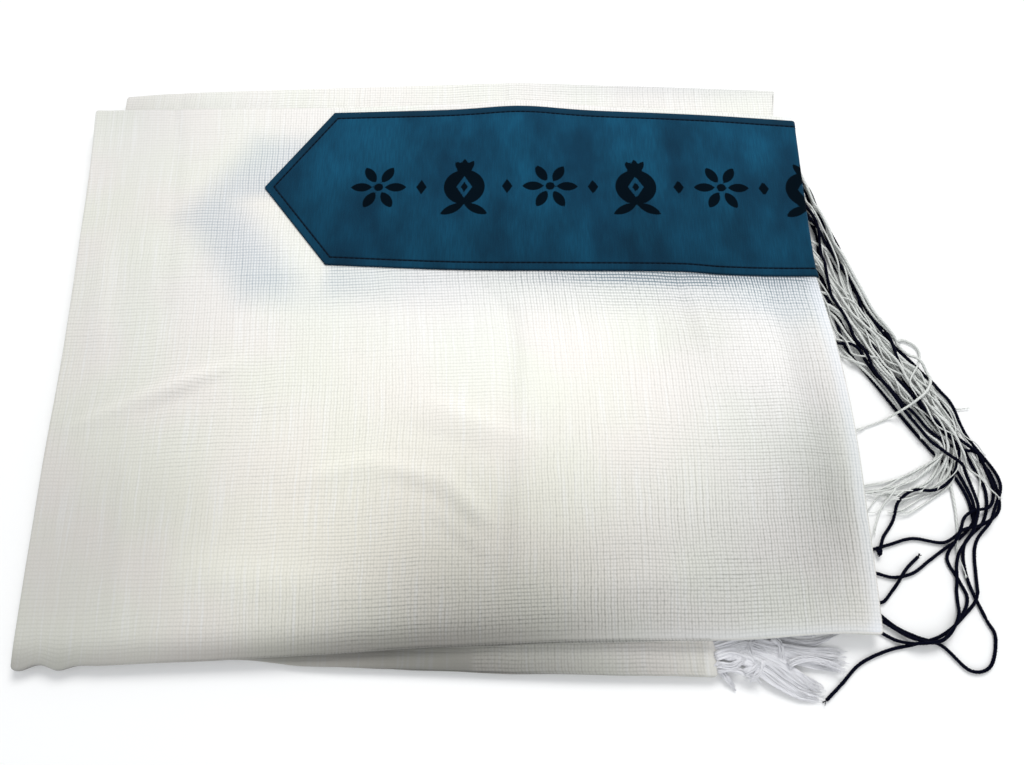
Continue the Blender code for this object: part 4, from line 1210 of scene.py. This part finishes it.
# Thinner white strands among the others: their lanes shift along the way, so they cross each other.
THIN_STRINGS = table(
    "name lanes tail",
    ("thin 1", (0.9, 1.0, 0.6, 0.9, 0.95, 0.5, 0.8, 0.9, 0.7), ((234, -54), (240, -60))),
    ("thin 2", (0.6, 0.7, 1.0, 1.0, 0.4, 0.8, 0.3, 0.7, 0.4), ((229, -58), (232, -70))),
    ("thin 3", (1.0, 0.8, 0.9, 0.3, 0.7, 1.0, 0.9, 0.3, 0.9), ((235, -58), (238, -68))),
    ("thin 4", (0.0, 0.3, 0.1, -0.2, 0.3, 0.1, 0.6, -0.1, 0.1), ((220, -68), (212, -76))),
    ("thin 5", (-0.4, -0.7, -0.2, -0.5, -0.8, -0.2, -0.6, -0.2, -0.6), ((210, -64), (199, -71))),
    ("thin 6", (0.8, 0.5, 0.8, 0.7, 0.1, 0.3, 0.5, 1.0, 0.9), ((238, -52), (241, -56))),
    ("thin 7", (-0.2, -0.4, -0.1, 0.2, 0.1, 0.3, 0.0, 0.3, 0.0), ((224, -66), (214, -75))),
    ("thin 8", (0.2, 0.0, 0.2, 0.3, 0.3, -0.3, 0.2, -0.3, 0.3), ((227, -62), (229, -72))),
    ("thin 9", (-0.6, -0.2, 0.1, 0.0, 0.5, 0.1, 0.4, 0.0, -0.4), ((215, -68), (205, -77))),
)
# Fine threads that the white ends fray into: the string each starts from, and the way it takes.
WISPS = table(
    "string way",
    ("sweep 1", ((196, -70), (184, -73.5), (172, -75.5))),
    ("sweep 1", ((197, -71), (185, -76), (171, -79))),
    ("sweep 2", ((198, -74), (186, -77), (175, -78), (167, -76.5))),
    ("sweep 3", ((196, -77), (186, -84), (180, -88), (173, -87))),
    ("sweep 4", ((199, -77), (188, -78), (178, -81), (170, -82))),
    ("sweep 5", ((204, -78), (193, -82), (181, -79), (172, -77))),
    ("down 1", ((191, -77), (183, -87), (178, -98), (175, -107))),
    ("down 2", ((202, -82), (193, -87), (187, -87))),
    ("hook", ((205, -84), (196, -89), (190, -89))),
    ("swoop", ((183, -43), (176, -46), (168, -48))),
)
WISP_RADIUS = 0.26
LAYING_ORDER = (
    "wide loop", "left bank", "crossing", "sweep 1", "short 2", "sweep 3", "long 1", "sweep 2",
    "down 2", "right 2", "down 1", "short 1", "long 2", "sweep 5", "side end", "hook", "thin 1",
    "under and out", "thin 4", "short 3", "thin 3", "sweep 4", "front run", "knotted", "thin 5",
    "thin 2", "thin 6", "outer run", "thin 7", "thin 8", "thin 9", "right 1", "inner run", "loop",
    "swoop",
)


def smooth_way(points, step=STRAND_STEP):
    """Points along a smooth curve through the given ones (Catmull-Rom), about a step apart."""
    points = np.asarray(points, float)
    padded = np.vstack((2 * points[0] - points[1], points, 2 * points[-1] - points[-2]))
    way = []
    for before, start, end, after in zip(padded, padded[1:], padded[2:], padded[3:]):
        count = max(1, round(np.linalg.norm(end - start) / step))
        u = (np.arange(count) / count)[:, None]
        bend = (2 * before - 5 * start + 4 * end - after) * u**2
        turn = (3 * start - before - 3 * end + after) * u**3
        way.append(start + 0.5 * ((end - before) * u + bend + turn))
    way.append(points[-1:])
    return np.vstack(way)


def string_way(string, index):
    """A string's way in plan: its own, or down the bundle near its lane and then along its loose end."""
    if "way" in string:
        return smooth_way(string["way"])
    points = []
    last = string.get("rows", len(BUNDLE) - 1)
    for place, station in enumerate(BUNDLE[: last + 1]):
        drift = 0.20 * math.sin(1.9 * place + 2.4 * index) + 0.10 * math.sin(3.7 * place + 1.1 * index)
        settled = min(1.0, place / 2, (last - place) / 2)
        lane = string["lanes"][place] if "lanes" in string else string["lane"] + drift * settled
        part = (min(max(lane, -1.0), 1.0) + 1) / 2
        x = station["left_x"] + (station["right_x"] - station["left_x"]) * part
        y = station["left_y"] + (station["right_y"] - station["left_y"]) * part
        points.append((x, y))
    return smooth_way(points + list(string["tail"]))


def rest_over(plan, obstacles, radius, lowest):
    """Lowest height of each plan point over the obstacles: rows of x, y, height and radius."""
    if not len(obstacles):
        return np.full(len(plan), lowest)
    away = np.hypot(plan[:, None, 0] - obstacles[:, 0], plan[:, None, 1] - obstacles[:, 1])
    reach = radius + obstacles[:, 3]
    rise = SQUEEZE * reach * np.sqrt(np.clip(1 - (away / reach) ** 2, 0, None))
    return np.where(away < reach, obstacles[:, 2] + rise, lowest).max(axis=1)


def softened(heights):
    """The heights held up over a few sections, then smoothed, as a string bends."""
    held = heights.copy()
    for shift in (1, 2):
        held[shift:] = np.maximum(held[shift:], heights[:-shift])
        held[:-shift] = np.maximum(held[:-shift], heights[shift:])
    weights = np.exp(-((np.arange(-4, 5) / 2.2) ** 2))
    return np.convolve(np.pad(held, 4, mode="edge"), weights / weights.sum(), mode="valid")


def lay_string(plan, obstacles, radius):
    """The string's points in space, over the obstacles and over itself, and below the upper packet."""
    lowest = radius + 0.1
    needed = rest_over(plan, obstacles, radius, lowest)
    apart = int(10 / STRAND_STEP)
    for _ in range(2):
        heights = softened(needed)
        own = np.column_stack((plan, heights, np.full(len(plan), radius)))
        for index in range(apart, len(plan)):
            over = rest_over(plan[index : index + 1], own[: index - apart], radius, lowest)
            needed[index] = max(needed[index], over[0])
    heights = softened(needed)
    x, y = plan.T
    out = np.where(y > CLOTH_FRONT, np.clip(x - side_at(UPPER, "right", y), 0, None), 20.0)
    ceiling = rest_height(x, y) - UNDER_CLOTH + 0.9 * out
    return np.column_stack((plan, np.minimum(heights, ceiling)))


def fray(tubes, path, seed, count, length, spread, radius):
    """Fine threads that stand out from the end of a path."""
    chance = np.random.RandomState(seed)
    end = path[-1]
    ahead = path[-1] - path[-4]
    ahead /= np.linalg.norm(ahead)
    side = np.array((ahead[1], -ahead[0], 0.0))
    for _ in range(count):
        across = chance.uniform(-1, 1) * spread
        rise = chance.uniform(-0.5, 0.8) * spread
        reach = length * chance.uniform(0.6, 1.1)
        stations = np.linspace(-0.25, 1, 7)[:, None]
        line = end + ahead * reach * stations + side * across * np.clip(stations, 0, 1) ** 1.4
        line[:, 2] += rise * np.clip(stations[:, 0], 0, 1) ** 1.5
        line[:, 2] = np.maximum(line[:, 2], radius + 0.05)
        tubes.add(line, radius * np.linspace(1, 0.6, 7), 4)


def knot(tubes, middle, size, radius):
    """A small pulled-up overhand knot."""
    t = np.linspace(0, 2 * math.pi, 48, endpoint=False)
    x = (np.sin(t) + 2 * np.sin(2 * t)) / 3 * size
    y = (np.cos(t) - 2 * np.cos(2 * t)) / 3 * size
    z = -np.sin(3 * t) * 0.5 * size
    path = np.column_stack((x, y, np.maximum(z + middle[2], radius))) + (middle[0], middle[1], 0)
    tubes.add(path, np.full(len(path), radius), 8)


def string_material(name, plain, furrow, shine):
    nodes = Nodes(name, Roughness=0.8, Sheen_Weight=shine, Specular_IOR_Level=shine)
    weave = nodes.weave()
    groove = nodes.attribute("groove")
    fibre = nodes.noise(weave, (900.0, 9000.0, 1.0), 3.0, 0.6)
    worn = nodes.noise(weave, (60.0, 60.0, 1.0))
    lighter = tuple(min(1.0, channel * 1.35 + 0.004) for channel in plain)
    color = nodes.layers(
        plain,
        # Painted shade down the furrows between the plies; the same dark colour also marks random worn
        # spots.
        (nodes.smooth(groove, 0.35, 1.0) * 0.75, furrow),
        (nodes.smooth(fibre, 0.45, 0.8, 0.0, 0.5), lighter),
        (nodes.smooth(worn, 0.4, 0.75, 0.0, 0.22), furrow),
    )
    nodes.shade(Base_Color=color)
    nodes.bump(fibre - groove, 0.4, 0.00015)
    return nodes.material


def lay_strings(white, black):
    """Lays the strings one over another, white and black, and then the threads that the ends fray into."""
    kinds = ((WHITE_STRINGS, WHITE_RADIUS), (BLACK_STRINGS, BLACK_RADIUS), (THIN_STRINGS, THIN_RADIUS))
    strings = {string["name"]: (string, radius) for rows, radius in kinds for string in rows}
    obstacles = np.empty((0, 4))
    laid = {}
    for index, name in enumerate(LAYING_ORDER):
        string, radius = strings[name]
        path = lay_string(string_way(string, index), obstacles, radius)
        laid[name] = path
        obstacles = np.vstack((obstacles, np.column_stack((path, np.full(len(path), radius)))))
        taper = np.ones(len(path))
        if string in BLACK_STRINGS:
            black.add(path, radius * taper, **BLACK_TWIST)
            fray(black, path, index, **BLACK_FRAY)
        else:
            loose = min(len(path) - 1, round(WAY_LOOSE / STRAND_STEP))
            taper[-loose:] = np.linspace(1, 0.42, loose)
            white.add(path, radius * taper, **WHITE_TWIST)
            fray(white, path, index, **WHITE_FRAY)
    for index, wisp in enumerate(WISPS):
        parent = laid[wisp["string"]]
        start = parent[np.hypot(*(parent[:, :2] - wisp["way"][0]).T).argmin()]
        path = lay_string(smooth_way(np.vstack((start[:2], wisp["way"][1:]))), obstacles, WISP_RADIUS)
        path[:, 2] = np.maximum(path[:, 2] * np.linspace(1, 0.8, len(path)), WISP_RADIUS + 0.1)
        white.add(path, WISP_RADIUS * np.linspace(1.3, 0.7, len(path)), 5)
        fray(white, path, WISP_SEED + index, **WISP_FRAY)
    knot(black, laid["knotted"][-1], **KNOT)


def make_strings():
    white = Tubes()
    black = Tubes()
    lay_strings(white, black)
    cotton = string_material("twisted white cotton", (0.80, 0.82, 0.79), (0.44, 0.46, 0.45), 0.15)
    dress(white.piece("white_strings"), cotton, "white_string", "tzitzit_white")
    dye_and_shade = string_material("twisted black cotton", (0.0022, 0.0028, 0.0110), (0.0006, 0.0008, 0.003), 0.02)
    dress(black.piece("black_strings"), dye_and_shade, "black_string", "tzitzit_black")


# ---------------------------------------------------------------- fringe of the short hem
THREAD_RADIUS = 0.15
# Locks of loose threads: each with its way, its width from the hem to its end, how many threads it has, how
# thick it lies and how high it arches.
FRINGE_LOCKS = table(
    "way widths threads thick arch",
    (((93.2, -157), (101, -155), (110, -157.5), (118, -161), (126.5, -166.6), (134, -171),
        (141.5, -173.6)), (4.0, 6.0, 10.0, 12.6, 13.0, 11.0, 8.0), 300, 1.8, 3.2),
    (((93.2, -152), (103, -149.5), (113, -151), (122, -153.6), (134, -156.6), (145, -158.2),
        (155, -159)), (4.0, 5.5, 6.5, 7.6, 9.0, 10.4, 10.8), 230, 1.5, 2.8),
    (((93.4, -146), (108, -146), (122, -148.5), (137, -151), (145, -150), (153, -146.8)), (4.0, 5.0, 5.0,
        3.6, 3.0, 0.5), 90, 1.4, 0.0),
    (((93.2, -160), (96.5, -163), (99, -167), (101.6, -170.6)), (3.2, 3.6, 2.8, 0.5), 60, 1.6, 2.0),
    (((93.2, -138), (108, -140), (124, -143), (141, -147)), (4.5, 6.0, 6.0, 3.0), 60, 1.8, 0.0),
    (((93.2, -129), (110, -132), (128, -138), (146, -144)), (4.5, 6.0, 6.0, 3.0), 60, 1.8, 0.0),
)
# Short locks that curl over the roots of the long ones.
CURLS = (
    ((94.2, -160.5), (100.5, -161.4), (105.6, -158.6), (108.4, -154.2), (107.4, -150), (104, -147.5)),
    ((94.2, -155), (99.5, -157.5), (103.5, -156), (105.5, -152), (104.5, -148.5)),
    ((114.5, -160.2), (110.6, -157.2), (109.4, -153), (111.6, -149.6), (115.5, -149)),
    ((93.6, -163), (101, -162.6), (106, -164), (110, -166), (112.4, -168.2)),
    ((115, -158.8), (114, -162.4), (111.6, -165.6), (108.4, -167)),
    ((120.6, -148.6), (123.8, -151), (124.8, -154.6), (123.4, -158)),
    ((106, -164.2), (110, -162.4), (114.2, -160), (119.4, -159.6)),
    ((93.2, -158), (101, -152.6), (108, -151), (116, -153.6), (120, -157.6)),
    ((127, -160.6), (132, -158.6), (139, -158.2), (147, -160.4), (152, -163.4)),
)
CURL = {"threads": 34, "thick": 1.2, "arch": 0.8}
CURL_WIDTH = 3.2
CURL_LIFT = 3.4
LOCK_STEP = 2.2  # length of a lock's sections
ROOT_LIFT = 4.4  # a lock starts on the hem, this far above where it comes to lie


def add_lock(tubes, lock, lift, chance):
    """A flat lock of fine threads that run side by side with a shared wave, ragged at its end."""
    middle = smooth_way(lock["way"], LOCK_STEP)
    ahead = np.gradient(middle, axis=0)
    ahead /= np.linalg.norm(ahead, axis=1)[:, None]
    side = np.column_stack((ahead[:, 1], -ahead[:, 0]))
    part = np.linspace(0, 1, len(middle))
    width = smooth_through(np.linspace(0, 1, len(lock["widths"])), lock["widths"], part)
    arch = lock["arch"] * np.sin(math.pi * part**0.8)
    root = max(0.0, ROOT_LIFT - lift) * np.exp(-((part / 0.16) ** 2))
    for _ in range(lock["threads"]):
        across = chance.uniform(-0.5, 0.5)
        height = chance.uniform(0, 1)
        shared = 0.35 * np.sin(9 * part + 7 * across) + 0.16 * np.sin(23 * part + 19 * across)
        own = 0.2 * np.sin(part * chance.uniform(6, 16) + chance.uniform(0, 6.28))
        place = middle + side * (across * width + (shared + own) * np.sqrt(part))[:, None]
        rounded = math.sqrt(max(0.0, 1 - (2 * across) ** 2))
        ridge = 0.25 * np.sin(17 * across + 5 * part)
        above = (0.1 + height * rounded + ridge * rounded) * lock["thick"] * (1 - 0.5 * part)
        level = 0.3 + lift + arch + root + above
        keep = max(4, round(len(middle) * chance.uniform(0.78, 1.0)))
        line = np.column_stack((place, np.maximum(level, 0.25)))[:keep]
        line[-1, :2] += ahead[keep - 1] * chance.uniform(-0.8, 2.4)
        tubes.add(line, THREAD_RADIUS * np.linspace(1.15, 0.7, keep), 4)


def make_fringe():
    chance = np.random.RandomState(7)
    tubes = Tubes()
    for lock in FRINGE_LOCKS:
        add_lock(tubes, lock, 0.0, chance)
    for way in CURLS:
        widths = CURL_WIDTH * np.linspace(1.0, 0.75, len(way))
        add_lock(tubes, {"way": way, "widths": widths, **CURL}, CURL_LIFT, chance)
    tones = ((0.70, 0.70, 0.745), (0.93, 0.93, 0.945))
    looks = {"Roughness": 0.6, "Sheen_Weight": 0.25, "Specular_IOR_Level": 0.35}
    material = two_tones("loose fringe threads", *tones, (120.0, 4000.0, 1.0), 2.0, **looks)
    dress(tubes.piece("hem_fringe"), material, "white_fringe", "fringe")


def main():
    make_camera()
    make_studio()
    make_floor()
    make_cloth()
    make_band()
    make_strings()
    make_fringe()


main()
